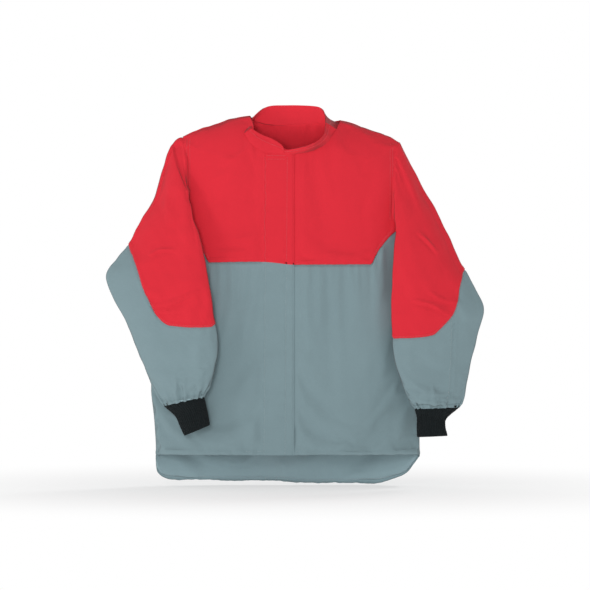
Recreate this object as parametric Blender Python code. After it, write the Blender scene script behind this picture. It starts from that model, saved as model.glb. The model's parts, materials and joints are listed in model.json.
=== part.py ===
"""Two-tone work jacket with a stand collar, hook-and-loop front and knit cuffs.

Metres, +Z up. X runs across the jacket (the wearer's right is -X), the front faces -Y.
Outlines are laid out from the neck's centre line and from the plane between front and back.
The finished jacket is then moved so that the origin is below the middle of its box, at the
height of the drop tail's lowest edge. Every cloth piece is a closed sheet of real thickness;
neighbours keep a small gap.
"""
import math

import bpy
import numpy as np

# driving dimensions
FRONT_HEM_Z = 0.068
SEAM_Z = 0.500            # yoke seam, front and back
ARMPIT_Z = 0.588
NECK_FRONT_Z = 0.749
NECK_HALF_WIDTH = 0.1125
TORSO_DEPTH = 0.0444      # half the body's thickness at its flat middle, before the side gap
SIDE_GAP = 0.0006         # from the plane between front and back to either of them
FLAT_SHARE = 0.35         # share of the half width that is flat
SHOULDER_ROLL = 0.10      # height over which the shoulder rounds over
ARMHOLE_X = 0.2355
CLOTH = 0.0016            # thickness of one ply
GAP = 0.0006              # clearance between neighbouring pieces
LAYER = 0.0020            # step from one stacked ply to the next
LEAST_FACING = 0.25       # smallest share of a body sheet's thickness that points front to back
FACING_CLOTH = 0.6 * CLOTH
ARMHOLE_REACH = 0.07      # height over which the side seam curves in to the armhole
BOX_MIDDLE = (0.0104, -0.0242)   # X and Y of the middle of the finished jacket's box

# front closure, in X: the wearer's right front laps over the left
RIGHT_EDGE_X = 0.009
LEFT_EDGE_X = -0.052
STRIP_EDGE_X = -0.064
TAPE_X = (-0.0576, -0.0090)
TAPE_Z = (0.095, 0.735)
FACING_HEM = 0.002        # by which the facings stop short of the hem
LAP_DROP = 3.6 * LAYER    # how far the left front lies under the right one
LAP_END_X = 0.055         # where the left front is level with the right one again
LAP_REACH = 0.04

# fold lines on which the two fronts open, as X at the top and at the bottom of the jacket
FOLD_TOP_Z = 0.83
FOLD_BOTTOM_Z = 0.07
FOLD_TOP_X = 0.104
FOLD_BOTTOM_X = 0.145

# joint positions of the arms, as (x, y, z)
SHOULDER_JOINT_RIGHT = (-0.2625, -0.030, 0.620)
SHOULDER_JOINT_LEFT = (0.2800, -0.030, 0.600)
ELBOW_JOINT_RIGHT = (-0.285, -0.060, 0.440)
ELBOW_JOINT_LEFT = (0.325, -0.056, 0.420)

RED = (0.72, 0.032, 0.050, 1.0)
GREY = (0.215, 0.300, 0.322, 1.0)
BLACK = (0.012, 0.015, 0.016, 1.0)
TAPE = (0.035, 0.038, 0.040, 1.0)

RIGHT = -1
LEFT = 1
FRONT = -1
BACK = 1


# ---------------------------------------------------------------- curves

def smooth(t):
    t = min(max(t, 0.0), 1.0)
    return t * t * (3 - 2 * t)


def spline(points, t):
    """Catmull-Rom curve through points; whole numbers of t are the points themselves."""
    points = np.asarray(points, float)
    last = len(points) - 1
    i = min(max(int(math.floor(t)), 0), last - 1)
    f = t - i
    before = points[i - 1] if i > 0 else 2 * points[0] - points[1]
    a = points[i]
    b = points[i + 1]
    after = points[i + 2] if i + 2 <= last else 2 * points[last] - points[last - 1]
    return 0.5 * (
        2 * a
        + (b - before) * f
        + (2 * before - 5 * a + 4 * b - after) * f ** 2
        + (3 * a - before - 3 * b + after) * f ** 3
    )


def height_at(points, x):
    """Second number of an outline at a value of its first, from a few points in order."""
    points = np.asarray(points, float)
    return float(np.interp(x, points[:, 0], points[:, 1]))


# ---------------------------------------------------------------- body outline

SHOULDER = [
    (-0.268, 0.7725), (-0.2525, 0.7775), (-0.196, 0.8027), (-0.136, 0.824), (-0.113, 0.830),
    (0.0, 0.836), (0.112, 0.8235), (0.151, 0.809), (0.197, 0.791), (0.249, 0.7695), (0.268, 0.760),
]
NECK_RIGHT = [(-0.113, 0.830), (-0.106, 0.803), (-0.083, 0.770), (-0.056, 0.754), (0.02, 0.7485)]
NECK_LEFT = [(-0.06, 0.7485), (0.012, 0.755), (0.061, 0.764), (0.084, 0.7785), (0.106, 0.805), (0.112, 0.8235)]
NECK_BACK = [(-0.113, 0.829), (-0.06, 0.820), (0.0, 0.816), (0.06, 0.8185), (0.112, 0.8225)]
HALF_WIDTH_RIGHT = [
    (0.0, 0.303), (0.06, 0.303), (0.14, 0.307), (0.22, 0.316), (0.5, 0.272), (0.58, 0.262), (0.78, 0.266),
]
HALF_WIDTH_LEFT = [(0.0, 0.2925), (0.2, 0.2935), (0.5, 0.272), (0.58, 0.262), (0.78, 0.266)]
YOKE_SEAM = [(0.0, 0.500), (0.184, 0.500), (0.197, 0.528), (0.2155, 0.5535), (0.2375, 0.574), (0.27, 0.590)]
TAIL = [
    (-0.303, 0.058), (-0.300, 0.028), (-0.290, 0.015), (-0.272, 0.009), (-0.245, 0.007), (-0.040, 0.006),
    (0.065, 0.0), (0.192, 0.0), (0.232, 0.009), (0.262, 0.021), (0.2835, 0.048), (0.2925, 0.062),
]


def half_width(side, z):
    return height_at(HALF_WIDTH_RIGHT if side == RIGHT else HALF_WIDTH_LEFT, z)


def shoulder_z(x):
    return height_at(SHOULDER, x)


def seam_z(x):
    return height_at(YOKE_SEAM, abs(x))


def tail_z(x):
    return height_at(TAIL, x)


def fold_x(z):
    share = (z - FOLD_BOTTOM_Z) / (FOLD_TOP_Z - FOLD_BOTTOM_Z)
    return FOLD_BOTTOM_X + (FOLD_TOP_X - FOLD_BOTTOM_X) * share


def body_depth(x, z):
    """Half thickness of the body at a place seen from the front: flat in the middle, round at the edges."""
    across = (abs(x) / half_width(RIGHT if x < 0 else LEFT, z) - FLAT_SHARE) / (1 - FLAT_SHARE)
    across = min(max(across, 0.0), 1.0)
    down = min(max((shoulder_z(x) - z) / SHOULDER_ROLL, 0.0), 1.0)
    return TORSO_DEPTH * math.sqrt(1 - across ** 2) * math.sqrt(1 - (1 - down) ** 2)


# ---------------------------------------------------------------- mesh tools

def material(name, colour, roughness):
    made = bpy.data.materials.new(name)
    made.use_nodes = True
    shader = made.node_tree.nodes["Principled BSDF"]
    shader.inputs["Base Color"].default_value = colour
    shader.inputs["Roughness"].default_value = roughness
    shader.inputs["Metallic"].default_value = 0.0
    return made


def normals(grid):
    """Unit normals of a grid of points, rows by columns."""
    across = np.gradient(grid, axis=1)
    along = np.gradient(grid, axis=0)
    n = np.cross(across, along)
    return n / np.maximum(np.linalg.norm(n, axis=2, keepdims=True), 1e-12)


def solid(name, outer, inner, closed, colour, roughness, parent=None):
    """One closed body between two grids of points, with its faces out."""
    rows, cols = outer.shape[:2]
    count = rows * cols
    steps = cols if closed else cols - 1
    faces = []

    def at(layer, row, col):
        return layer * count + row * cols + col % cols

    for row in range(rows - 1):
        for col in range(steps):
            corners = [(row, col), (row, col + 1), (row + 1, col + 1), (row + 1, col)]
            faces.append([at(0, *c) for c in corners])
            faces.append([at(1, *c) for c in reversed(corners)])
    for row, turn in ((0, False), (rows - 1, True)):
        for col in range(steps):
            rim = [at(0, row, col + 1), at(0, row, col), at(1, row, col), at(1, row, col + 1)]
            faces.append(rim[::-1] if turn else rim)
    if not closed:
        for col, turn in ((0, False), (cols - 1, True)):
            for row in range(rows - 1):
                rim = [at(0, row, col), at(0, row + 1, col), at(1, row + 1, col), at(1, row, col)]
                faces.append(rim[::-1] if turn else rim)

    mesh = bpy.data.meshes.new(name)
    points = np.concatenate([outer.reshape(-1, 3), inner.reshape(-1, 3)])
    mesh.from_pydata(points.tolist(), [], faces)
    mesh.validate()
    made = bpy.data.objects.new(name, mesh)
    bpy.context.scene.collection.objects.link(made)
    made.data.materials.append(material(name, colour, roughness))
    mesh.shade_smooth()
    mesh.set_sharp_from_angle(angle=math.radians(40))
    if parent is not None:
        made.parent = parent
        made.matrix_parent_inverse = parent.matrix_world.inverted()
    return made


def pivot(name, place, axis):
    """An empty on a joint's axis, whose Z points along the axis."""
    empty = bpy.data.objects.new(name, None)
    direction = np.array(axis, float)
    bpy.context.scene.collection.objects.link(empty)
    empty.location = place
    empty.rotation_mode = "AXIS_ANGLE"
    turn = np.cross((0, 0, 1), direction)
    length = float(np.linalg.norm(turn))
    if length > 1e-9:
        empty.rotation_axis_angle = (math.atan2(length, direction[2]), *(turn / length))
    bpy.context.view_layer.update()
    return empty


# ---------------------------------------------------------------- body sheets

def body_sheet(name, side_y, x_limits, z_limits, shares, rows, colour, set_back=0.0, thick=CLOTH, parent=None):
    """A sheet on the body's FRONT or BACK, between two X limits and two Z limits.

    The limits are functions: X of the height, Z of the place across. shares place the grid's columns
    between the X limits. set_back moves the sheet inwards.
    """
    x_from, x_to = x_limits
    z_from, z_to = z_limits
    grid = np.zeros((rows + 1, len(shares), 3))
    for row in range(rows + 1):
        for col, share in enumerate(shares):
            z = SEAM_Z
            for _ in range(12):
                x = x_from(z) + (x_to(z) - x_from(z)) * share
                z = z_from(x) + (z_to(x) - z_from(x)) * row / rows
            inwards = set_back(x) if callable(set_back) else set_back
            grid[row, col] = (x, side_y * (body_depth(x, z) - inwards + SIDE_GAP), z)
    facing = normals(grid) * -side_y
    facing[..., 1] = np.maximum(facing[..., 1] * side_y, LEAST_FACING) * side_y
    facing /= np.linalg.norm(facing, axis=2, keepdims=True)
    inner = grid - facing * thick
    inner[..., 1] = np.maximum(inner[..., 1] * side_y, SIDE_GAP / 3) * side_y
    outer = grid
    if side_y > 0:
        outer = outer[:, ::-1]
        inner = inner[:, ::-1]
    return solid(name, outer, inner, False, colour, 0.85, parent)


def even(count):
    """Column shares of an evenly divided sheet."""
    return [i / count for i in range(count + 1)]


def on_seam(knots, side, x_from, x_to):
    """Column shares that meet the yoke seam at the given distances from the middle."""
    shares = []
    for knot in knots:
        z = seam_z(knot)
        shares.append((side * knot - x_from(z)) / (x_to(z) - x_from(z)))
    return sorted(shares)


def level(z):
    return lambda x: z


def upright(x):
    return lambda z: x


def order(one, other):
    """Two X limits, the lower first."""
    return (one, other) if one(SEAM_Z) < other(SEAM_Z) else (other, one)


def neck_and_shoulder(neck):
    """Top edge of the body: the neck curve near the middle, the shoulder line outside it."""
    return lambda x: height_at(neck, x) - GAP if abs(x) < NECK_HALF_WIDTH else shoulder_z(x)


def left_set_back(x):
    """The left front lies under the right one at the lap and comes level with it beyond the lap."""
    return LAP_DROP * smooth((LAP_END_X - x) / LAP_REACH)


def make_fronts(side, name, pivot_empty):
    """The yoke and lower panel of one front, each as a still side part and an opening part."""
    neck = NECK_RIGHT if side == RIGHT else NECK_LEFT
    edge = RIGHT_EDGE_X if side == RIGHT else LEFT_EDGE_X
    back_off = 0.0 if side == RIGHT else left_set_back
    top = neck_and_shoulder(neck)

    def fold(gap):
        return lambda z: side * (fold_x(z) + gap)

    def yoke_low(x):
        return seam_z(x) + GAP

    def panel_top(x):
        return seam_z(x) - GAP

    armhole = upright(side * ARMHOLE_X)
    body_side = (lambda z: side * half_width(side, z))
    fold_at_seam = fold_x(SEAM_Z) + GAP
    along_seam = [x for x, z in YOKE_SEAM if fold_at_seam < x < ARMHOLE_X]
    shared = [fold_at_seam, (fold_at_seam + along_seam[0]) / 2, *along_seam, ARMHOLE_X]
    widest = half_width(side, ARMPIT_Z)
    beyond = [(ARMHOLE_X + widest) / 2, widest]
    yoke = yoke_low, top
    panel = level(FRONT_HEM_Z), panel_top
    still = order(fold(GAP), armhole)
    columns = on_seam(shared, side, *still)
    body_sheet(f"{name}_yoke_side", FRONT, still, yoke, columns, 8, RED, back_off)
    still = order(fold(GAP), body_side)
    columns = on_seam(shared + beyond, side, *still)
    body_sheet(f"{name}_panel_side", FRONT, still, panel, columns, 8, GREY, back_off)
    moving = order(fold(-GAP), upright(edge))
    body_sheet(f"{name}_yoke_front", FRONT, moving, yoke, even(8), 8, RED, back_off, CLOTH, pivot_empty)
    body_sheet(f"{name}_panel_front", FRONT, moving, panel, even(8), 8, GREY, back_off, CLOTH, pivot_empty)


def armhole_x(side, z):
    """Half width of the back yoke: the side seam up to the armpit, then the armhole."""
    width = half_width(side, z)
    return width + (ARMHOLE_X - width) * smooth((z - ARMPIT_Z) / ARMHOLE_REACH)


def make_back():
    def edges(width_at):
        return (lambda z: -width_at(RIGHT, z)), (lambda z: width_at(LEFT, z))

    yoke = level(SEAM_Z + GAP), neck_and_shoulder(NECK_BACK)
    panel = tail_z, level(SEAM_Z - GAP)
    body_sheet("back_yoke", BACK, edges(armhole_x), yoke, even(18), 9, RED)
    body_sheet("back_panel", BACK, edges(half_width), panel, even(20), 9, GREY)


def make_closure(right, left):
    """Placket strip and facing on the right front, hook tape behind it, loop tape and facing on the left."""
    strip = upright(STRIP_EDGE_X), upright(RIGHT_EDGE_X)
    above = level(SEAM_Z + GAP), level(NECK_FRONT_Z - 0.002)
    below = level(FRONT_HEM_Z), level(SEAM_Z - GAP)
    body_sheet("placket_strip_top", FRONT, strip, above, even(2), 4, RED, -LAYER, CLOTH, right)
    body_sheet("placket_strip_bottom", FRONT, strip, below, even(2), 4, GREY, -LAYER, CLOTH, right)

    facing = upright(STRIP_EDGE_X), upright(RIGHT_EDGE_X - 0.002)
    height = level(FRONT_HEM_Z + FACING_HEM), level(NECK_FRONT_Z - 0.014)
    body_sheet("right_front_facing", FRONT, facing, height, even(2), 8, RED, 1.25 * LAYER, FACING_CLOTH, right)
    facing = upright(LEFT_EDGE_X), upright(0.012)
    height = level(FRONT_HEM_Z + FACING_HEM), level(NECK_FRONT_Z - 0.004)
    body_sheet("left_front_facing", FRONT, facing, height, even(2), 8, RED, 4.6 * LAYER, FACING_CLOTH, left)

    hooks = upright(TAPE_X[0]), upright(TAPE_X[1])
    loops = upright(LEFT_EDGE_X + 0.001), upright(TAPE_X[1])
    height = level(TAPE_Z[0]), level(TAPE_Z[1])
    body_sheet("hook_tape", FRONT, hooks, height, even(1), 8, TAPE, 1.9 * LAYER, FACING_CLOTH, right)
    body_sheet("loop_tape", FRONT, loops, height, even(1), 8, TAPE, 2.6 * LAYER, FACING_CLOTH, left)


# ---------------------------------------------------------------- collar

def on_body(points, side_y, lift=2 * GAP):
    """Points of a neck seam on the body's surface, lifted clear of the cloth below."""
    return [(x, side_y * body_depth(x, z), z + lift) for x, z in points]


RIGHT_COLLAR_SEAM = on_body([(-0.0125, 0.7505), (-0.056, 0.754), (-0.083, 0.770), (-0.103, 0.797)], FRONT, 0.005)
RIGHT_COLLAR_EDGE = [
    (-0.0165, -0.047, 0.769), (-0.042, -0.045, 0.788), (-0.070, -0.036, 0.7965), (-0.084, -0.018, 0.8),
]
LEFT_COLLAR_SEAM = on_body([(0.0135, 0.7555), (0.061, 0.765), (0.0845, 0.7795), (0.105, 0.806)], FRONT)
LEFT_COLLAR_EDGE = [
    (0.0125, -0.062, 0.764), (0.057, -0.076, 0.773), (0.080, -0.064, 0.790), (0.0805, -0.034, 0.815),
]
BACK_COLLAR_SEAM = (
    RIGHT_COLLAR_SEAM[-1:]
    + on_body([(-0.112, 0.829), (-0.060, 0.820), (0.0, 0.816), (0.060, 0.8185), (0.111, 0.8235)], BACK)
    + LEFT_COLLAR_SEAM[-1:]
)
BACK_COLLAR_EDGE = [
    RIGHT_COLLAR_EDGE[-1], (-0.083, 0.012, 0.825), (-0.052, 0.040, 0.855), (0.0, 0.046, 0.859),
    (0.056, 0.040, 0.857), (0.077, 0.014, 0.838), LEFT_COLLAR_EDGE[-1],
]
COLLAR_THICK = 0.003


def collar_band(name, seam, edge, start, end, cols, parent=None):
    """A band of the collar from its neck seam to its free edge, over part of its length."""
    rows = 3
    grid = np.zeros((rows + 1, cols + 1, 3))
    for col in range(cols + 1):
        t = start + (end - start) * col / cols
        low = spline(seam, t)
        high = spline(edge, t)
        for row in range(rows + 1):
            grid[row, col] = low + (high - low) * row / rows
    inner = grid - normals(grid) * COLLAR_THICK
    return solid(name, grid, inner, False, RED, 0.85, parent)


def make_collar(right, left):
    clear = 0.08              # of a station, where the front halves meet the back one
    collar_band("collar_right", RIGHT_COLLAR_SEAM[::-1], RIGHT_COLLAR_EDGE[::-1], clear, 3.0, 8, right)
    collar_band("collar_left", LEFT_COLLAR_SEAM, LEFT_COLLAR_EDGE, 0.0, 3.0 - clear, 8, left)
    collar_band("collar_back", BACK_COLLAR_SEAM[::-1], BACK_COLLAR_EDGE[::-1], clear, 6.0 - clear, 18)


# ---------------------------------------------------------------- sleeves

# Each station of a sleeve: outer (x, z), inner (x, z), depth of the outer and inner folds,
# and how far the front and back walls bulge from the line between the folds.
SLEEVE_RIGHT = [
    ((-0.2430, 0.7745), (-0.2415, 0.6450), 0.000, -0.040, 0.016, 0.036),
    ((-0.2665, 0.7700), (-0.2370, 0.6400), 0.000, -0.042, 0.020, 0.036),
    ((-0.2890, 0.7096), (-0.2290, 0.6250), -0.006, -0.050, 0.024, 0.034),
    ((-0.3080, 0.6473), (-0.2180, 0.6000), -0.014, -0.056, 0.026, 0.030),
    ((-0.3400, 0.5944), (-0.2030, 0.5600), -0.024, -0.063, 0.028, 0.026),
    ((-0.3640, 0.5435), (-0.1915, 0.5150), -0.032, -0.068, 0.030, 0.026),
    ((-0.3910, 0.5114), (-0.1850, 0.4800), -0.038, -0.071, 0.031, 0.027),
    ((-0.4145, 0.4649), (-0.1780, 0.4400), -0.042, -0.073, 0.032, 0.028),
    ((-0.3695, 0.3660), (-0.1690, 0.3710), -0.048, -0.073, 0.031, 0.028),
    ((-0.3435, 0.3050), (-0.1600, 0.3140), -0.052, -0.073, 0.030, 0.028),
    ((-0.3180, 0.2486), (-0.1710, 0.2550), -0.056, -0.072, 0.029, 0.027),
    ((-0.2830, 0.1800), (-0.1920, 0.2000), -0.060, -0.070, 0.024, 0.022),
]
SLEEVE_LEFT = [
    ((0.2460, 0.7690), (0.2400, 0.6000), 0.000, -0.034, 0.016, 0.036),
    ((0.2712, 0.7241), (0.2397, 0.5920), 0.000, -0.038, 0.020, 0.036),
    ((0.3006, 0.6735), (0.2392, 0.5850), -0.006, -0.044, 0.024, 0.034),
    ((0.3243, 0.6328), (0.2380, 0.5720), -0.014, -0.050, 0.026, 0.030),
    ((0.3526, 0.5763), (0.2350, 0.5400), -0.022, -0.056, 0.028, 0.026),
    ((0.3810, 0.5108), (0.2315, 0.5000), -0.030, -0.060, 0.030, 0.026),
    ((0.4181, 0.4452), (0.2280, 0.4450), -0.038, -0.063, 0.031, 0.027),
    ((0.4360, 0.3937), (0.2270, 0.3950), -0.042, -0.065, 0.032, 0.028),
    ((0.4180, 0.3260), (0.2290, 0.3350), -0.048, -0.067, 0.031, 0.028),
    ((0.4057, 0.2712), (0.2346, 0.2830), -0.052, -0.068, 0.030, 0.028),
    ((0.3932, 0.2100), (0.2580, 0.2180), -0.056, -0.068, 0.029, 0.027),
    ((0.3790, 0.1770), (0.2800, 0.1735), -0.060, -0.068, 0.024, 0.022),
]
CUFF_RIGHT = [
    ((-0.2815, 0.1785), (-0.1925, 0.1985), -0.060, -0.070, 0.022, 0.020),
    ((-0.2576, 0.1570), (-0.1885, 0.1800), -0.061, -0.069, 0.019, 0.018),
    ((-0.2475, 0.1360), (-0.1840, 0.1600), -0.062, -0.068, 0.018, 0.017),
    ((-0.2370, 0.1130), (-0.1800, 0.1370), -0.062, -0.068, 0.018, 0.017),
]
CUFF_LEFT = [
    ((0.3780, 0.1752), (0.2805, 0.1717), -0.060, -0.068, 0.022, 0.020),
    ((0.3520, 0.1526), (0.2850, 0.1550), -0.061, -0.067, 0.019, 0.018),
    ((0.3485, 0.1350), (0.2852, 0.1320), -0.062, -0.066, 0.018, 0.017),
    ((0.3537, 0.1130), (0.2857, 0.1100), -0.062, -0.066, 0.018, 0.017),
]
# where the sleeves join the body: the armhole as (x, y, z), from the shoulder tip down its front,
# under the arm and up its back, an eighth of the ring apart
ARMHOLE_RIGHT = [
    (-0.2440, 0.000, 0.7745), (-0.2392, -0.0200, 0.745), (-0.2387, -0.0250, 0.705), (-0.2387, -0.0275, 0.672),
    (-0.2385, -0.0330, 0.650), (-0.2600, -0.0050, 0.596), (-0.2570, 0.0180, 0.625), (-0.2395, 0.0255, 0.700),
]
ARMHOLE_LEFT = [
    (0.2475, 0.000, 0.7690), (0.2395, -0.0185, 0.738), (0.2387, -0.0245, 0.690), (0.2387, -0.0262, 0.640),
    (0.2400, -0.0300, 0.602), (0.2620, -0.0060, 0.598), (0.2570, 0.0180, 0.624), (0.2395, 0.0255, 0.700),
]
ROOT_REACH = 2.0          # stations over which the armhole's shape fades into the sleeve's
RING = 18
SLEEVE_CLOTH = 0.0020
CLEARANCE = 0.0075        # from a sleeve to the front it lies over
CUFF_WALL = 0.0030

# where a sleeve's pieces end, in stations: rigid pieces sit between the bending ones
CAP_END = 3.6
UPPER_END = 5.0
FOREARM_START = 8.0
SEAM_STEP = 0.02          # clearance between sleeve pieces, in stations

# where red gives way to grey, as (degrees round the sleeve, station): across the front wall from its
# outer fold at 0 to its inner fold at 180, then back along the rear wall
COLOUR_SEAM_RIGHT = [(0, 5.2), (40, 5.7), (60, 6.4), (80, 7.5), (100, 7.8), (190, 7.8), (235, 5.25), (360, 5.2)]
COLOUR_SEAM_LEFT = [(0, 5.4), (40, 5.8), (60, 6.7), (80, 7.4), (110, 7.8), (190, 7.8), (235, 5.45), (360, 5.4)]


def loop_point(points, angle):
    """A point of a closed smooth curve through evenly spaced points."""
    around = list(points[-2:]) + list(points) + list(points[:3])
    return spline(around, 2 + (angle / (2 * math.pi)) % 1.0 * len(points))


def sleeve_point(stations, armhole, t, angle):
    """A point of a sleeve, which starts at its armhole, or of a cuff, which has none."""
    place = ring_point(stations, t, angle)
    if armhole is None or t >= ROOT_REACH:
        return place
    root = loop_point(armhole, angle)
    return root + (place - root) * smooth(t / ROOT_REACH)


def ring_point(stations, t, angle):
    """A point of a flattened tube: angle 0 is the outer fold, pi the inner fold, the front wall between."""
    row = [np.hstack(station) for station in stations]
    outer_x, outer_z, inner_x, inner_z, outer_y, inner_y, front, back = spline(row, t)
    share = (1 - math.cos(angle)) / 2
    x = outer_x + (inner_x - outer_x) * share
    z = outer_z + (inner_z - outer_z) * share
    y = outer_y + (inner_y - outer_y) * share
    rise = math.copysign(abs(math.sin(angle)) ** 0.85, math.sin(angle))
    y -= rise * (front if rise > 0 else back)
    body_edge = half_width(RIGHT if x < 0 else LEFT, z) if z < ARMPIT_Z + 0.02 else ARMHOLE_X + CLEARANCE
    over_body = abs(x) < body_edge
    if rise < 0 and over_body:
        y = min(y, -body_depth(x, z) - CLEARANCE)
    return np.array((x, y, z))


def ring_normal(stations, armhole, t, angle):
    """Outward unit normal of the tube at a point."""
    step = 0.05
    last = len(stations) - 1
    low = max(t - step, 0.0)
    high = min(t + step, last)
    along = sleeve_point(stations, armhole, high, angle) - sleeve_point(stations, armhole, low, angle)
    around = sleeve_point(stations, armhole, t, angle + step) - sleeve_point(stations, armhole, t, angle - step)
    side = -1 if stations[0][0][0] < 0 else 1
    n = side * np.cross(around, along)
    return n / np.linalg.norm(n)


def tube(name, stations, armhole, start, end, rows, wall, colour, parent=None):
    """One length of a sleeve or cuff between two limits, each a function of the angle around it."""
    side = -1 if stations[0][0][0] < 0 else 1
    grid = np.zeros((rows + 1, RING, 3))
    inner = np.zeros_like(grid)
    for col in range(RING):
        angle = 2 * math.pi * col / RING
        for row in range(rows + 1):
            t = start(angle) + (end(angle) - start(angle)) * row / rows
            grid[row, col] = sleeve_point(stations, armhole, t, angle)
            inner[row, col] = grid[row, col] - ring_normal(stations, armhole, t, angle) * wall
    if side < 0:
        grid = grid[:, ::-1]
        inner = inner[:, ::-1]
    return solid(name, grid, inner, True, colour, 0.9, parent)


def make_sleeve(name, stations, armhole, seam, cuff_stations, upper, forearm):
    def at(t):
        return lambda angle: t

    def colour_seam(angle):
        return height_at(seam, math.degrees(angle))

    def after_seam(angle):
        return colour_seam(angle) + 7 * SEAM_STEP

    def piece(part, start, end, rows, colour, parent=None):
        tube(f"{name}_{part}", stations, armhole, start, end, rows, SLEEVE_CLOTH, colour, parent)

    piece("sleeve_cap", at(0.0), at(CAP_END), 6, RED)
    piece("upper_sleeve", at(CAP_END + SEAM_STEP), at(UPPER_END), 2, RED, upper)
    piece("elbow_front", at(UPPER_END + SEAM_STEP), colour_seam, 4, RED, upper)
    piece("elbow_back", after_seam, at(FOREARM_START), 4, GREY, forearm)
    piece("forearm", at(FOREARM_START + SEAM_STEP), at(len(stations) - 1), 4, GREY, forearm)
    tube(f"{name}_cuff", cuff_stations, None, at(0.0), at(len(cuff_stations) - 1), 4, CUFF_WALL, BLACK, forearm)


# ---------------------------------------------------------------- assembly

def front_pivot(name, side):
    """Fold axis of a front: in the plane of its flat outer face."""
    top = np.array((side * FOLD_TOP_X, -TORSO_DEPTH - LAYER, FOLD_TOP_Z))
    bottom = np.array((side * FOLD_BOTTOM_X, -TORSO_DEPTH - LAYER, FOLD_BOTTOM_Z))
    axis = (top - bottom) / np.linalg.norm(top - bottom)
    return pivot(name, bottom, axis * side)


def arm_pivots(name, side, shoulder, elbow):
    upper = pivot(f"{name}_shoulder_pivot", shoulder, (0, -side, 0))
    forearm = pivot(f"{name}_elbow_pivot", elbow, (-1, 0, 0))
    forearm.parent = upper
    forearm.matrix_parent_inverse = upper.matrix_world.inverted()
    bpy.context.view_layer.update()
    return upper, forearm


def stand_on_origin():
    """Carry everything on one empty that puts the middle of the jacket's box above the origin."""
    jacket = bpy.data.objects.new("jacket", None)
    loose = [made for made in bpy.data.objects if made.parent is None and made is not jacket]
    bpy.context.scene.collection.objects.link(jacket)
    for made in loose:
        made.parent = jacket
    jacket.location = (-BOX_MIDDLE[0], -BOX_MIDDLE[1], 0.0)


def main():
    for old in list(bpy.data.objects):
        bpy.data.objects.remove(old, do_unlink=True)
    right = front_pivot("right_front_pivot", RIGHT)
    left = front_pivot("left_front_pivot", LEFT)
    make_back()
    make_fronts(RIGHT, "right", right)
    make_fronts(LEFT, "left", left)
    make_closure(right, left)
    make_collar(right, left)
    right_arm = arm_pivots("right", RIGHT, SHOULDER_JOINT_RIGHT, ELBOW_JOINT_RIGHT)
    left_arm = arm_pivots("left", LEFT, SHOULDER_JOINT_LEFT, ELBOW_JOINT_LEFT)
    make_sleeve("right", SLEEVE_RIGHT, ARMHOLE_RIGHT, COLOUR_SEAM_RIGHT, CUFF_RIGHT, *right_arm)
    make_sleeve("left", SLEEVE_LEFT, ARMHOLE_LEFT, COLOUR_SEAM_LEFT, CUFF_LEFT, *left_arm)
    stand_on_origin()


main()
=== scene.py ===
"""Looks of the two-tone work jacket: cloth, seams, stitching, knit cuffs, light and camera.

Metres, +Z up, front towards -Y, wearer's right at -X, as in the frame. Each piece of cloth is made in
four steps: a smooth sheet or tube, a short cloth simulation pinned at its seams, relief for folds, seams
and hems, and a second ply behind the first that closes it.
"""
import json
import math

import bpy
import numpy as np
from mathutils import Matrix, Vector
from mathutils.bvhtree import BVHTree
from mathutils.kdtree import KDTree


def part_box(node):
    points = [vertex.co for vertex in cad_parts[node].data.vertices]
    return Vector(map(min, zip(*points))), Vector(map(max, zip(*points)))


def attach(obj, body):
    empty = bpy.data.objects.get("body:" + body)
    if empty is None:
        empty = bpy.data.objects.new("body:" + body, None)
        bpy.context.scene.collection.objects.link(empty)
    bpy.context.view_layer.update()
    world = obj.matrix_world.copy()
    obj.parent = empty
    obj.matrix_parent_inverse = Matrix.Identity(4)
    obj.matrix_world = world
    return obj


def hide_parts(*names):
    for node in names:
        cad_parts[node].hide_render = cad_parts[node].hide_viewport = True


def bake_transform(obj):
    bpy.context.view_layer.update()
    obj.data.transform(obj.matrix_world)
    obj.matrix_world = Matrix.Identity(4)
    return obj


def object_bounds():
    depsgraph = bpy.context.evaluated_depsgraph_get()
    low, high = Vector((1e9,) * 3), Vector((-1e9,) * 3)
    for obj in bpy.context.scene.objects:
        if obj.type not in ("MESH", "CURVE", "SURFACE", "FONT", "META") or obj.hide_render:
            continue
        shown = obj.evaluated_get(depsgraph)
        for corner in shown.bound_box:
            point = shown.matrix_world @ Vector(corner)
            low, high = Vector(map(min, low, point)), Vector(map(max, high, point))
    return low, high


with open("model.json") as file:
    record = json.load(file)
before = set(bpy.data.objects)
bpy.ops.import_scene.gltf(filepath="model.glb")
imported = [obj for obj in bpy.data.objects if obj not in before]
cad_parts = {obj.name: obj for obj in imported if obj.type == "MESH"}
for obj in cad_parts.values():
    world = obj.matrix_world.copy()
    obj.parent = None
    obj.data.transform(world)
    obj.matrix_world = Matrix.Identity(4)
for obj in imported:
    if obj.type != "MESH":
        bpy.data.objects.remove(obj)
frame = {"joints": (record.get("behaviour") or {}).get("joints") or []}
CAD_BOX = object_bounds()


# ---- sizes, from the frame

# The outlines below are laid out from the body's middle plane and from the plane between front and back.
MIDDLE = np.array((
    (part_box("back_yoke")[0][0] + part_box("back_yoke")[1][0]) / 2,
    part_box("back_yoke")[0][1],
    0.0,
))


def low(node, axis):
    place = "xyz".index(axis)
    return float(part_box(node)[0][place] - MIDDLE[place])


def high(node, axis):
    place = "xyz".index(axis)
    return float(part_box(node)[1][place] - MIDDLE[place])


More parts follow.
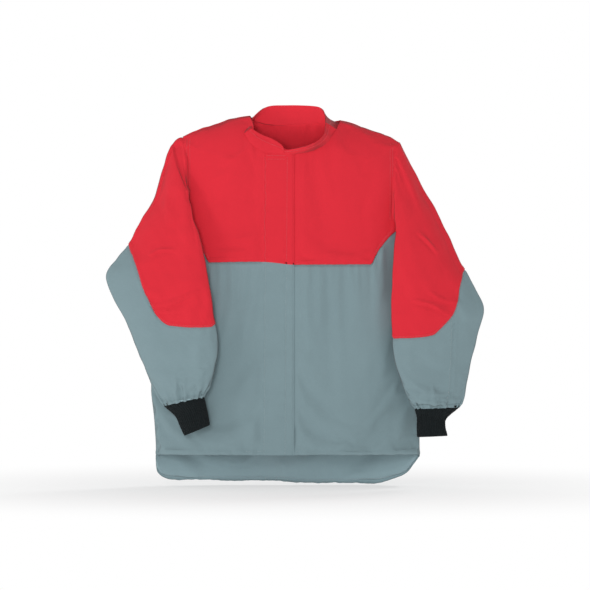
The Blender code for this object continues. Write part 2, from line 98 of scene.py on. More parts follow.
SEAM_Z = low("back_yoke", "z")
FRONT_HEM_Z = low("right_panel_front", "z")
DEPTH = high("back_panel", "y")                 # half the body's thickness where it is flat
HEM_RIGHT = -low("back_panel", "x")
HEM_LEFT = high("back_panel", "x")
ARMHOLE_X = high("left_yoke_side", "x")
RIGHT_EDGE_X = high("right_panel_front", "x")
LEFT_EDGE_X = low("left_panel_front", "x")
STRIP_EDGE_X = low("placket_strip_top", "x")
STRIP_TOP_Z = high("placket_strip_top", "z")
TAPE_X = (low("hook_tape", "x"), high("hook_tape", "x"))
TAPE_Z = (low("hook_tape", "z"), high("hook_tape", "z"))
COLLAR_TOP_Z = high("collar_back", "z")

RIGHT = -1
LEFT = 1
FRONT = -1
BACK = 1
SIDE_NAME = {RIGHT: "right", LEFT: "left"}

ARMPIT_Z = 0.588
ARMHOLE_LAP = {RIGHT: 0.0070, LEFT: 0.0105}   # the yokes reach this far over the sleeves' roots
FLAT_SHARE = 0.35         # share of the half width that is flat
SHOULDER_ROLL = 0.10      # height over which the shoulder rounds over
PLY = 0.0012              # thickness of the cloth
LAYER = 0.0010            # step from one stacked ply to the next
CELL = 0.0042             # size of a cloth mesh's cells
EDGE_BAND = 0.013         # cells shrink within this distance of an edge, where seams and stitching lie
EDGE_CELLS = 13
SIM_CELL = 0.0075         # size of the cells that the cloth simulation moves
SLEEVE_CELL = 0.0024
SEAM_ROWS = (0.0025, 0.0080)   # from a seam's edge to its two rows of stitches
HEM_STITCH = 0.0090       # from a hem's edge to its stitches
ROLL = 0.0026             # radius at a folded edge
SEAM_LAP = 0.004          # the lower panels reach this far up behind the yokes
SEAM_SINK = 0.0024        # and lie this far behind them there
GAPE_Z = 0.110            # where the free edge stands a little open
GAPE_REACH = 0.024

# outlines seen from the front, as (x, z)
SHOULDER = [
    (-0.270, 0.7745), (-0.2525, 0.7830), (-0.210, 0.8035), (-0.167, 0.8175), (-0.131, 0.8300),
    (-0.109, 0.8335), (0.0, 0.838), (0.104, 0.8265), (0.1446, 0.8170), (0.1785, 0.8040),
    (0.2147, 0.7900), (0.244, 0.7765), (0.268, 0.764),
]
# neck edges of the fronts and of the back, under the collar; their ends lie on the shoulders
NECK = {
    RIGHT: [
        (-0.0855, 0.8325), (-0.083, 0.80), (-0.07, 0.7885), (-0.05, 0.78), (-0.03, 0.766), (0.02, 0.7485),
    ],
    LEFT: [
        (-0.06, 0.7470), (-0.013, 0.7490), (0.026, 0.7525), (0.054, 0.7590), (0.083, 0.7755), (0.106, 0.805),
        (0.1125, 0.8245),
    ],
}
NECK_BACK = [(-0.0905, 0.8325), (-0.06, 0.8215), (0.0, 0.816), (0.06, 0.8185), (0.1125, 0.8245)]
# where the yokes' lower edge climbs at the arms
WEDGE = [(0.184, SEAM_Z), (0.197, 0.528), (0.2155, 0.5535), (0.2375, 0.574), (0.27, 0.590)]
TAIL = [
    (-0.303, 0.058), (-0.300, 0.028), (-0.290, 0.015), (-0.272, 0.009), (-0.245, 0.007), (-0.040, 0.006),
    (0.065, 0.0), (0.192, 0.0), (0.232, 0.009), (0.262, 0.021), (0.2835, 0.048), (0.2925, 0.062),
]
# half width of the body at each height, as (z, half width)
CHEST_WIDTH = [(0.5, 0.272), (0.58, 0.262), (0.78, 0.266)]
HALF_WIDTH = {
    RIGHT: [(0.0, 0.303), (0.06, 0.303), (0.14, 0.307), (0.22, HEM_RIGHT)] + CHEST_WIDTH,
    LEFT: [(0.0, HEM_LEFT), (0.2, HEM_LEFT)] + CHEST_WIDTH,
}


# ---- curves

def smooth(t):
    t = np.clip(t, 0.0, 1.0)
    return t * t * (3 - 2 * t)


def outline(points):
    """A smooth function through a few points in order of their first number, with no overshoot."""
    xs, ys = np.array(points, float).T
    rises = np.diff(ys) / np.diff(xs)
    before, after = rises[:-1], rises[1:]
    total = np.where(before + after == 0, 1, before + after)
    inner = np.where(before * after > 0, 2 * before * after / total, 0)
    slopes = np.concatenate([rises[:1], inner, rises[-1:]])

    def at(x):
        x = np.clip(x, xs[0], xs[-1])
        i = np.clip(np.searchsorted(xs, x, side="right") - 1, 0, len(xs) - 2)
        step = xs[i + 1] - xs[i]
        t = (x - xs[i]) / step
        start = (1 + 2 * t) * (1 - t) ** 2 * ys[i] + t * (1 - t) ** 2 * step * slopes[i]
        end = t * t * (3 - 2 * t) * ys[i + 1] + t * t * (t - 1) * step * slopes[i + 1]
        return start + end

    return at


def spline(points, t):
    """Catmull-Rom curve through points, for an array of t; whole numbers are the points themselves."""
    points = np.asarray(points, float)
    padded = np.vstack([2 * points[0] - points[1], points, 2 * points[-1] - points[-2]])
    t = np.asarray(t, float)
    i = np.clip(np.floor(t).astype(int), 0, len(points) - 2)
    f = (t - i)[..., None]
    before, a, b, after = (padded[i + k] for k in range(4))
    return 0.5 * (
        2 * a
        + (b - before) * f
        + (2 * before - 5 * a + 4 * b - after) * f ** 2
        + (3 * a - before - 3 * b + after) * f ** 3
    )


def waves(seed, wavelength, count=7):
    """A gentle uneven field over a plane, about -1 to 1, from a few sine waves."""
    rng = np.random.default_rng(seed)
    turns = rng.uniform(0, 2 * math.pi, count)
    sizes = rng.uniform(0.6, 1.6, count) * 2 * math.pi / wavelength
    phases = rng.uniform(0, 2 * math.pi, count)

    def at(x, z):
        total = 0
        for turn, size, phase in zip(turns, sizes, phases):
            total = total + np.sin(size * (x * math.cos(turn) + z * math.sin(turn)) + phase)
        return total / math.sqrt(count * 1.5)

    return at


# ---- body shape

width_at = {side: outline(points) for side, points in HALF_WIDTH.items()}
shoulder_z = outline(SHOULDER)
tail_z = outline(TAIL)
wedge_z = outline(WEDGE)
seam_shift = outline([(-0.184, 0.0015), (-0.062, 0.0030), (0.015, -0.0035), (0.184, -0.0030)])


def half_width(x, z):
    """Half width of the body on the side that x is on."""
    return np.where(np.asarray(x) < 0, width_at[RIGHT](z), width_at[LEFT](z))


def seam_z(x):
    """The yokes' lower edge on the fronts: it sinks a little across the placket and climbs at the arms."""
    return np.where(np.abs(x) < WEDGE[0][0], SEAM_Z, wedge_z(np.abs(x))) + seam_shift(x)


def yoke_width(side, z):
    """Half width of the back yoke, which narrows to the armhole above the armpit."""
    width = half_width(side, z)
    return width + (ARMHOLE_X + ARMHOLE_LAP[side] - width) * smooth((z - ARMPIT_Z) / 0.07)


def body_depth(x, z):
    """Half thickness of the body at a place seen from the front."""
    across = np.clip((np.abs(x) / half_width(x, z) - FLAT_SHARE) / (1 - FLAT_SHARE), 0.0, 1.0)
    down = np.clip((shoulder_z(x) - z) / SHOULDER_ROLL, 0.0, 1.0)
    return DEPTH * np.sqrt(1 - across ** 2) * np.sqrt(1 - (1 - down) ** 2)


# ---- cloth making

class Cloth:
    """A grid of points on a piece's outer face, with what is needed to fold, seam and close it."""

    def __init__(self, points, closed=False):
        self.points = points
        self.closed = closed

    def normals(self):
        p = self.points
        if self.closed:
            across = np.roll(p, -1, axis=1) - np.roll(p, 1, axis=1)
        else:
            across = np.gradient(p, axis=1)
        n = np.cross(across, np.gradient(p, axis=0))
        return n / np.maximum(np.linalg.norm(n, axis=2, keepdims=True), 1e-12)

    def seen(self):
        """Each point's x and z."""
        return self.points[..., 0], self.points[..., 2]

    def push(self, relief):
        """Move each point along its normal."""
        self.points = self.points + self.normals() * np.asarray(relief)[..., None]

    def faces(self):
        rows, cols = self.points.shape[:2]
        steps = cols if self.closed else cols - 1
        r, c = np.mgrid[0:rows - 1, 0:steps]
        after = (c + 1) % cols
        return np.stack([r * cols + c, r * cols + after, (r + 1) * cols + after, (r + 1) * cols + c], axis=-1)


def add_mesh(name, points, faces, material):
    mesh = bpy.data.meshes.new(name)
    mesh.from_pydata((np.asarray(points).reshape(-1, 3) + MIDDLE).tolist(), [], np.asarray(faces).tolist())
    mesh.update()
    made = bpy.data.objects.new(name, mesh)
    bpy.context.scene.collection.objects.link(made)
    if material is not None:
        mesh.materials.append(material)
    mesh.shade_smooth()
    return made


def close_ply(name, cloth, thickness, material):
    """The finished piece: the cloth's face, a second face behind it, and strips that close its edges."""
    outer = cloth.points
    inner = outer - cloth.normals() * thickness
    rows, cols = outer.shape[:2]
    count = rows * cols
    face = cloth.faces().reshape(-1, 4)
    quads = [face, face[:, ::-1] + count]
    steps = cols if cloth.closed else cols - 1
    c = np.arange(steps)
    after = (c + 1) % cols
    last = (rows - 1) * cols
    quads.append(np.stack([after, c, c + count, after + count], axis=1))
    quads.append(np.stack([last + c, last + after, last + after + count, last + c + count], axis=1))
    if not cloth.closed:
        r = np.arange(rows - 1) * cols
        quads.append(np.stack([r, r + cols, r + cols + count, r + count], axis=1))
        far = r + cols - 1
        quads.append(np.stack([far + cols, far, far + count, far + cols + count], axis=1))
    points = np.concatenate([outer.reshape(-1, 3), inner.reshape(-1, 3)])
    made = add_mesh(name, points, np.concatenate(quads), material)
    made.data.set_sharp_from_angle(angle=math.radians(60))
    # inner faces take the paler copy, painted light for the shade inside the body
    if material in LIT_INSIDE:
        made.data.materials.append(LIT_INSIDE[material])
        for polygon in made.data.polygons[len(face):2 * len(face)]:
            polygon.material_index = 1
    return made


def distances_along(line):
    """Distance of each point of a line from its start, along the line."""
    return np.concatenate([[0], np.cumsum(np.linalg.norm(np.diff(line, axis=0), axis=1))])


def picks(line, spacing):
    """Numbers of the points on a line that are about a spacing apart, with its first and last."""
    travelled = distances_along(line)
    marks = np.linspace(0, travelled[-1], max(int(travelled[-1] / spacing), 4) + 1)
    return np.unique(np.searchsorted(travelled, marks - 1e-9))


def spread(values, chosen, count):
    """Values known on chosen rows of a grid, spread smoothly over all of its rows."""
    places = np.interp(np.arange(count), chosen, np.arange(len(chosen)))
    return spline(values.reshape(len(chosen), -1), places).reshape(count, *values.shape[1:])


def simulate(cloth, slack, frames=18, stiffness=12.0, pull=0.15):
    """How far each point of a cloth moves when it grows by its slack while its edges stay put."""
    rest = cloth.points.reshape(-1, 3)
    rows, cols = cloth.points.shape[:2]
    sheet = add_mesh("settling", rest, cloth.faces().reshape(-1, 4), None)
    edge = np.zeros((rows, cols), bool)
    edge[[0, -1]] = True
    if not cloth.closed:
        edge[:, [0, -1]] = True
    pinned = sheet.vertex_groups.new(name="seams")
    pinned.add(np.flatnonzero(edge).tolist(), 1.0, "REPLACE")
    soft = sheet.modifiers.new("settle", "CLOTH")
    chosen = {
        "quality": 5, "mass": 0.3, "vertex_group_mass": "seams", "shrink_min": -slack,
        "tension_stiffness": stiffness, "compression_stiffness": stiffness,
        "shear_stiffness": stiffness / 2, "bending_stiffness": 0.6,
    }
    for key, value in chosen.items():
        setattr(soft.settings, key, value)
    soft.settings.effector_weights.gravity = pull
    soft.collision_settings.use_collision = False
    soft.point_cache.frame_start = 1
    soft.point_cache.frame_end = frames
    scene = bpy.context.scene
    for number in range(1, frames + 1):
        scene.frame_set(number)
    settled = sheet.evaluated_get(bpy.context.evaluated_depsgraph_get()).to_mesh()
    moved = np.empty(len(rest) * 3)
    settled.vertices.foreach_get("co", moved)
    scene.frame_set(1)
    bpy.data.objects.remove(sheet, do_unlink=True)
    return (moved.reshape(-1, 3) - MIDDLE - rest).reshape(cloth.points.shape)


def settle(cloth, slack, reach, share=1.0):
    """Let a cloth find its own folds, simulated on a coarser grid of its points.

    No point moves further than reach, and each keeps its share of the move.
    """
    rows, cols = cloth.points.shape[:2]
    row_picks = picks(cloth.points[:, cols // 2], SIM_CELL)
    col_picks = np.arange(0, cols, 2) if cloth.closed else picks(cloth.points[rows // 2], SIM_CELL)
    shift = simulate(Cloth(cloth.points[np.ix_(row_picks, col_picks)], cloth.closed), slack)
    length = np.linalg.norm(shift, axis=2, keepdims=True)
    shift *= reach * np.tanh(length / reach) / np.maximum(length, 1e-9)
    if cloth.closed:
        shift = np.concatenate([shift, shift[:, :1]], axis=1)
        col_picks = np.append(col_picks, cols)
    shift = spread(spread(shift, row_picks, rows).swapaxes(0, 1), col_picks, cols).swapaxes(0, 1)
    cloth.points = cloth.points + shift * (share * np.ones((rows, cols)))[..., None]


def distance_to(path, x, z):
    """Each place's distance from a path seen from the front, its share along the path, and its side of it."""
    path = np.asarray(path, float)
    nearest = np.full(np.shape(x), np.inf)
    along = np.zeros(np.shape(x))
    side = np.zeros(np.shape(x))
    start = distances_along(path)
    start = start / start[-1]
    for i in range(len(path) - 1):
        a = path[i]
        d = path[i + 1] - a
        t = np.clip(((x - a[0]) * d[0] + (z - a[1]) * d[1]) / (d @ d), 0, 1)
        dx = x - a[0] - t * d[0]
        dz = z - a[1] - t * d[1]
        far = np.hypot(dx, dz)
        nearer = far < nearest
        nearest = np.where(nearer, far, nearest)
        along = np.where(nearer, start[i] + t * (start[i + 1] - start[i]), along)
        side = np.where(nearer, np.sign(d[0] * dz - d[1] * dx), side)
    return nearest, along, side


def fold(x, z, path, height, width):
    """A soft fold along a path: a crest on one side of it and a hollow on the other, fading at its ends."""
    far, along, side = distance_to(spline(path, np.linspace(0, len(path) - 1, 4 * len(path))), x, z)
    fade = np.sin(np.pi * np.clip(along, 0, 1)) ** 0.7
    offset = side * far / width
    return height * fade * (offset + 0.35) * np.exp(-offset ** 2)


def seam_relief(distance, band=0.0105, rise=0.0008, rows=SEAM_ROWS):
    """Height of a folded edge sewn down with rows of stitches: a raised band, grooved along each row."""
    rolled = 1 - np.sqrt(1 - np.clip(1 - distance / ROLL, 0, 1) ** 2)
    height = rise * smooth((band - distance) / 0.002) - ROLL * 0.8 * rolled
    for row in rows:
        height = height - 0.0006 * np.exp(-((distance - row) / 0.0012) ** 2)
    return height


def tucked(distance):
    """Height of cloth that goes under its neighbour's edge."""
    return -SEAM_SINK * smooth((SEAM_LAP + 0.006 - distance) / 0.006)


def hem_relief(distance, along, seed):
    """Height of a turned hem with one row of stitches, and the puckers above it."""
    return seam_relief(distance, 0.0115, 0.0008, (HEM_STITCH,)) + pucker(distance, along, seed, 0.0009, 0.022)


def pucker(distance, along, seed, height=0.0006, reach=0.016, pitch=0.021):
    """Short ripples that run away from a stitched line."""
    field = waves(seed, pitch, 5)
    return height * field(along, distance * 0.25) * np.exp(-distance / reach)


# ---- materials

def shader_tools(name):
    """A new material, its node tree, its shader, and the place on the object that its textures follow."""
    made = bpy.data.materials.new(name)
    made.use_nodes = True
    tree = made.node_tree
    return made, tree, tree.nodes["Principled BSDF"], add_node(tree, "TexCoord", "Object")


def feed(tree, socket, value):
    """Set a node's input to a value, or link it to another node's output."""
    if isinstance(value, bpy.types.NodeSocket):
        tree.links.new(value, socket)
    else:
        socket.default_value = value


def fill(tree, node, **inputs):
    for key, value in inputs.items():
        feed(tree, node.inputs[key.replace("_", " ")], value)


def add_node(tree, kind, output=0, settings=None, **inputs):
    """One output of a new node."""
    node = tree.nodes.new(f"ShaderNode{kind}")
    for key, value in (settings or {}).items():
        setattr(node, key, value)
    fill(tree, node, **inputs)
    return node.outputs[output]


def shade(colour, factor):
    return (*(min(c * factor, 1.0) for c in colour[:3]), 1.0)


def mixed(tree, factor, a, b):
    node = tree.nodes.new("ShaderNodeMix")
    node.data_type = "RGBA"
    for number, value in ((0, factor), (6, a), (7, b)):
        feed(tree, node.inputs[number], value)
    return node.outputs[2]


def woven(name, colour, sheen, twill=0.0011):
    """Matte twill: diagonal ribs, slubs in the yarn, slow changes of tone, and painted shade where it turns
    away from the view, which darkens silhouettes and fold edges.
    """
    made, tree, shader, place = shader_tools(name)
    tilted = add_node(tree, "Mapping", Vector=place, Rotation=(0.0, math.radians(32), 0.0))
    ribs = add_node(tree, "TexWave", 1, {"bands_direction": "X"}, Vector=tilted,
                    Scale=0.314 / twill, Distortion=1.2, Detail=1.0, Detail_Scale=3.0)
    slubs = add_node(tree, "TexNoise", Vector=place, Scale=420.0, Detail=3.0, Roughness=0.6)
    blotches = add_node(tree, "TexNoise", Vector=place, Scale=9.0, Detail=4.0, Roughness=0.55)
    lint = add_node(tree, "TexNoise", Vector=place, Scale=70.0, Detail=5.0, Roughness=0.7)
    tone = mixed(tree, blotches, shade(colour, 0.86), shade(colour, 1.10))
    yarn = mixed(tree, slubs, shade(colour, 0.84), shade(colour, 1.14))
    worn = add_node(tree, "MapRange", Value=lint, From_Min=0.55, From_Max=0.8, To_Max=0.10)
    cloth = mixed(tree, worn, mixed(tree, 0.45, tone, yarn), shade(colour, 1.35))
    # painted shade: the colour darkens where the cloth turns away from the view, at silhouettes, rolled edges
    # and fold edges
    facing = add_node(tree, "LayerWeight", "Facing")
    painted_edge_shade = add_node(tree, "MapRange", 0, {"interpolation_type": "SMOOTHSTEP"}, Value=facing,
                      From_Min=0.25, From_Max=0.9, To_Max=0.85)
    cloth = mixed(tree, painted_edge_shade, cloth, shade(colour, 0.22))
    rough = add_node(tree, "MapRange", Value=slubs, To_Min=0.78, To_Max=0.95)
    bump = add_node(tree, "Bump", Strength=0.35, Distance=0.0003, Height=ribs)
    bump = add_node(tree, "Bump", Strength=0.30, Distance=0.0004, Height=slubs, Normal=bump)
    fill(tree, shader, Base_Color=cloth, Roughness=rough, Normal=bump, Sheen_Weight=sheen,
         Sheen_Roughness=0.6, Specular_IOR_Level=0.2)
    return made


def knitted(name, colour):
    """Dull rib knit: small loops along each rib."""
    made, tree, shader, place = shader_tools(name)
    stitches = add_node(tree, "TexVoronoi", Vector=place, Scale=620.0)
    fuzz = add_node(tree, "TexNoise", Vector=place, Scale=160.0, Detail=4.0)
    tone = mixed(tree, fuzz, shade(colour, 0.6), shade(colour, 1.7))
    bump = add_node(tree, "Bump", Strength=0.5, Distance=0.0005, Height=stitches)
    fill(tree, shader, Base_Color=tone, Normal=bump, Roughness=0.95, Sheen_Weight=0.12,
         Specular_IOR_Level=0.15)
    return made


def pile(name, colour, scale):
    """Hook or loop tape: a coarse pile."""
    made, tree, shader, place = shader_tools(name)
    tufts = add_node(tree, "TexVoronoi", Vector=place, Scale=scale)
    tone = mixed(tree, tufts, shade(colour, 1.8), shade(colour, 0.5))
    bump = add_node(tree, "Bump", Strength=0.9, Distance=0.0010, Height=tufts)
    fill(tree, shader, Base_Color=tone, Normal=bump, Roughness=0.9)
    return made


def spun(name, colour):
    """Sewing thread."""
    made, tree, shader, place = shader_tools(name)
    twist = add_node(tree, "TexNoise", Vector=place, Scale=900.0)
    tone = mixed(tree, twist, shade(colour, 0.75), shade(colour, 1.25))
    fill(tree, shader, Base_Color=tone, Roughness=0.7)
    return made


red_cloth = woven("red_twill", (0.71, 0.020, 0.037), 0.08)
grey_cloth = woven("grey_twill", (0.200, 0.284, 0.308), 0.12)
# the inner faces get paler copies of the cloth: painted light that lifts the shade inside the body, seen at
# the neck and the tail
LIT_INSIDE = {
    red_cloth: woven("red_twill_inside_painted_light", (0.86, 0.026, 0.046), 0.08),
    grey_cloth: woven("grey_twill_inside_painted_light", (0.255, 0.362, 0.395), 0.12),
}
knit = knitted("rib_knit", (0.006, 0.009, 0.010))
hooks = pile("hook_pile", (0.035, 0.038, 0.040), 900.0)
loops = pile("loop_pile", (0.045, 0.048, 0.050), 600.0)
red_thread = spun("red_thread", (0.66, 0.13, 0.15))
grey_thread = spun("grey_thread", (0.36, 0.42, 0.44))


# ---- the fronts' joints, from the frame

FOLD_REACH = 0.050        # width of the strip that reaches inwards from a front's fold line


def joint_named(name):
    return next(joint for joint in frame["joints"] if joint["name"] == name)


def fold_ramp(side):
    """Start and end of a strip that reaches inwards from a front's fold line."""
    joint = joint_named(f"{SIDE_NAME[side]}_front_open")
    axis = np.array(joint["axis"], float)
    pivot = np.array(joint["pos_m"], float)
    inwards = np.cross((0, 1, 0), axis)
    inwards *= -side * np.sign(inwards[0])
    return pivot, pivot + inwards / np.linalg.norm(inwards) * FOLD_REACH


def hang_on_front(piece, side):
    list(fold_ramp(side))
    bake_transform(piece)


# ---- body pieces

def shares(length, cell=CELL):
    """Shares from 0 to 1 across a piece: fine cells near its edges and coarser ones between."""
    band = min(EDGE_BAND, length / 3)
    edge = band * (np.arange(EDGE_CELLS) / EDGE_CELLS) ** 1.5
    middle = np.linspace(band, length - band, max(int((length - 2 * band) / cell), 2) + 1)
    return np.concatenate([edge, middle, length - edge[::-1]]) / length


def sheet_cloth(side_y, x_from, x_to, z_from, z_to, set_back=None):
    """The smooth outer face of a body piece, and the place and edge distances of each of its points."""
    width = float(x_to(SEAM_Z) - x_from(SEAM_Z))
    x_middle = float(x_from(SEAM_Z) + width / 2)
    height = float(z_to(x_middle) - z_from(x_middle))
    u = shares(width)[None, :]
    v = shares(height)[:, None]
    z = SEAM_Z + 0 * u * v
    for _ in range(25):
        x = x_from(z) + (x_to(z) - x_from(z)) * u
        z = z_from(x) + (z_to(x) - z_from(x)) * v
    inwards = set_back(x) if set_back else 0.0
    points = np.stack([x, side_y * (body_depth(x, z) - inwards), z], axis=-1)
    edges = {
        "left": x - x_from(z), "right": x_to(z) - x,
        "low": z - z_from(x), "high": z_to(x) - z,
    }
    if side_y > 0:
        points = points[:, ::-1]
        edges = {key: value[:, ::-1] for key, value in edges.items()}
    return Cloth(points), edges


def constant(value):
    """A limit that is the same all along an edge."""
    return lambda place: value + 0 * place


# the left front sinks towards its free edge, which lies under the right front
left_set_back = outline([
    (-0.003, 3.6 * LAYER), (0.003, 2.6 * LAYER), (RIGHT_EDGE_X, 1.5 * LAYER), (0.014, 0.9 * LAYER),
    (0.034, 0.0),
])


def yoke_top(neck_points):
    """Top edge of a yoke: its neck edge where the neck is open, and the shoulder beyond it."""
    neck = outline(neck_points)
    start, end = neck_points[0][0], neck_points[-1][0]
    return lambda x: np.where((x > start) & (x < end), neck(x), shoulder_z(x))


def front_limits(side, lower_piece):
    """Limits of a front's yoke or lower panel, from its side to its free edge."""
    edge = constant(RIGHT_EDGE_X if side == RIGHT else LEFT_EDGE_X)
    if lower_piece:
        outside = (lambda z: side * half_width(side, z))
        low_edge, top = constant(FRONT_HEM_Z), (lambda x: seam_z(x) + SEAM_LAP)
    else:
        outside = constant(side * (ARMHOLE_X + ARMHOLE_LAP[side]))
        low_edge, top = seam_z, yoke_top(NECK[side])
    ends = (outside, edge) if side == RIGHT else (edge, outside)
    return (*ends, low_edge, top)


# creases of the fronts as (path of (x, z), height, width), and paths of the back's
BODY_FOLDS = [
    ([(-0.1, 0.79), (-0.09, 0.755), (-0.07, 0.705)], 0.0022, 0.011),
    ([(-0.062, 0.25), (-0.059, 0.205), (-0.063, 0.155)], 0.005, 0.006),
    ([(0.205, 0.745), (0.19, 0.66), (0.165, 0.56)], 0.0022, 0.02),
    ([(0.225, 0.64), (0.17, 0.6), (0.11, 0.59)], -0.0016, 0.018),
    ([(-0.195, 0.74), (-0.175, 0.65), (-0.16, 0.56)], 0.0022, 0.02),
    ([(0.15, 0.48), (0.16, 0.35), (0.145, 0.18)], 0.0026, 0.026),
    ([(0.075, 0.44), (0.082, 0.3), (0.075, 0.11)], -0.002, 0.022),
    ([(-0.12, 0.47), (-0.11, 0.33), (-0.118, 0.13)], 0.0022, 0.022),
    ([(0.235, 0.24), (0.25, 0.15), (0.245, 0.085)], 0.0024, 0.016),
    ([(-0.235, 0.23), (-0.25, 0.15), (-0.245, 0.085)], 0.0024, 0.016),
]


BACK_FOLDS = [
    [(-0.15, 0.70), (-0.13, 0.45), (-0.15, 0.15)],
    [(0.13, 0.68), (0.15, 0.42), (0.12, 0.12)],
    [(0.02, 0.46), (0.01, 0.30), (0.03, 0.10)],
]


def body_folds(x, z, seed):
    total = 0.0012 * waves(seed, 0.16)(x, z * 0.45) + 0.0004 * waves(seed + 1, 0.05)(x, z * 0.7)
    for path, height, width in BODY_FOLDS:
        total = total + fold(x, z, path, height, width)
    return total


def quiet_edges(edges, names, reach=0.02):
    """0 on the named edges of a piece, 1 well inside it."""
    quiet = 1.0
    for name in names:
        quiet = quiet * smooth(edges[name] / reach)
    return quiet


def panel_relief(edges, x, seed):
    """A lower panel's hem, and its top edge under the yoke."""
    relief = hem_relief(edges["low"], x, seed) + tucked(edges["high"])
    return relief + pucker(edges["high"], x, seed + 1, 0.0005)


def yoke_relief(edges, x, seed):
    return seam_relief(edges["low"]) + pucker(edges["low"], x, seed, 0.0006)


def make_front(side, lower_piece):
    set_back = left_set_back if side == LEFT else None
    cloth, edges = sheet_cloth(FRONT, *front_limits(side, lower_piece), set_back)
    x, z = cloth.seen()
    # the cloth under the closure lies flat
    loose = smooth((STRIP_EDGE_X - x) / 0.02) if side == RIGHT else smooth((x - RIGHT_EDGE_X - 0.006) / 0.02)
    if lower_piece:
        settle(cloth, slack=0.016, reach=0.0060, share=loose)
    else:
        settle(cloth, slack=0.008, reach=0.0030, share=loose)
    quiet = quiet_edges(edges, ["left", "right", "high" if lower_piece else "low"])
    relief = body_folds(x, z, 3 + side) * quiet * (0.3 + 0.7 * loose)
    gape = np.exp(-((z - GAPE_Z) / GAPE_REACH) ** 4)
    if side == RIGHT:
        relief = relief - 0.0008 * smooth(1 - edges["right"] / 0.005) * (1 - 2 * gape)
        shown = smooth((TAPE_X[0] - 0.001 - x) / 0.004)
    else:
        relief = relief - 0.0035 * gape * np.exp(-((x - RIGHT_EDGE_X) / 0.0045) ** 2)
        shown = smooth((x - RIGHT_EDGE_X + 0.005) / 0.005)
    if lower_piece:
        relief = relief + panel_relief(edges, x, 11)
    else:
        relief = relief + yoke_relief(edges, x, 13) + pucker(edges["high"], x, 14, 0.0005)
    cloth.push(relief * shown)
    title = f"{SIDE_NAME[side]}_{'panel' if lower_piece else 'yoke'}"
    piece = close_ply(f"{title}_cloth", cloth, PLY, grey_cloth if lower_piece else red_cloth)
    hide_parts(f"{title}_side", f"{title}_front")
    hang_on_front(piece, side)
    return piece


def make_back(lower_piece):
    if lower_piece:
        width, low_edge, top = half_width, tail_z, constant(SEAM_Z + SEAM_LAP)
    else:
        width, low_edge, top = yoke_width, constant(SEAM_Z), yoke_top(NECK_BACK)
    cloth, edges = sheet_cloth(BACK, lambda z: -width(RIGHT, z), lambda z: width(LEFT, z), low_edge, top)
    x, z = cloth.seen()
    settle(cloth, slack=0.016, reach=0.0060)
    quiet = quiet_edges(edges, ["left", "right", "high" if lower_piece else "low"])
    relief = 0.0022 * waves(31, 0.20)(x, z * 0.5) + 0.0008 * waves(32, 0.07)(x, z * 0.6)
    for path in BACK_FOLDS:
        relief = relief + fold(x, z, path, 0.0030, 0.026)
    relief = np.minimum(relief, 0.004) * quiet
    relief = relief + (panel_relief(edges, x, 21) if lower_piece else yoke_relief(edges, x, 23))
    cloth.push(relief)
    title = "back_panel" if lower_piece else "back_yoke"
    piece = close_ply(f"{title}_cloth", cloth, PLY, grey_cloth if lower_piece else red_cloth)
    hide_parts(title)
    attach(piece, "torso")
    return piece


def leaning(x, z):
    """The placket's stitched lines lean a little."""
    return x + 0.008 * (z - 0.38)


def make_strip(title, node, x_limits, z_limits, inwards, thickness, material, side, stitched=()):
    """A flat strip of the closure, set back by a depth: placket strip, facing or tape."""
    cloth, edges = sheet_cloth(FRONT, *map(constant, x_limits), *z_limits, constant(inwards))
    x, z = cloth.seen()
    relief = 0.3 * body_folds(x, z, 3 + side) * quiet_edges(edges, ["low", "high"], 0.02)
    edge = np.minimum(edges["left"], edges["right"])
    relief = relief - 0.0016 * smooth(1 - edge / 0.005)
    for line in stitched:
        off = np.abs(x - leaning(line, z))
        relief = relief - 0.0010 * np.exp(-(off / 0.0014) ** 2) + pucker(off, z, 41, 0.0008, 0.01)
    cloth.push(relief)
    piece = close_ply(title, cloth, thickness, material)
    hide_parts(node)
    hang_on_front(piece, side)
    return piece


# ---- stitching

def add_stitch(points, faces, a, b, up, radius):
    """One stitch from a to b: a spindle with its ends sunk in the cloth."""
    across = np.cross((b - a) / np.linalg.norm(b - a), up) * radius
    up = up * radius
    middle = (a + b) / 2 + up * 0.5
    start = len(points)
    points += [a - up * 0.4, b - up * 0.4, middle + across, middle + up, middle - across, middle - up]
    for k in range(4):
        side = start + 2 + k
        beside = start + 2 + (k + 1) % 4
        faces.append((start, beside, side))
        faces.append((start + 1, side, beside))


def stitch_rows(name, ground, rows, thread, pitch=0.0034, length=0.0025, radius=0.00055):
    """Rows of sewn stitches: each row is a line of places, laid on the nearest points of a piece."""
    places = [v.co - Vector(MIDDLE) for v in ground.data.vertices]
    tree = BVHTree.FromPolygons(places, [p.vertices for p in ground.data.polygons])
    points = []
    faces = []
    for row in rows:
        travelled = distances_along(row)
        for i in range(int(travelled[-1] / pitch)):
            ends = []
            for place in (i * pitch, i * pitch + length):
                spot = [np.interp(place, travelled, row[:, k]) for k in range(3)]
                ends.append([np.array(found) for found in tree.find_nearest(spot)[:2]])
            (a, up), (b, _) = ends
            if np.linalg.norm(b - a) > length * 0.3:
                add_stitch(points, faces, a, b, up, radius)
    return add_mesh(name, points, faces, thread)


def body_line(side_y, x, z):
    """A path on the body's front or back face."""
    x, z = x + 0 * z, z + 0 * x
    return np.stack([x, side_y * body_depth(x, z), z], axis=-1)


# ---- collar

def on_body(points, side_y, lift=-0.004, out=0.0008):
    """Points on the body's surface, lifted by a height and moved out from it."""
    return [(x, side_y * (float(body_depth(x, z)) + out), z + lift) for x, z in points]


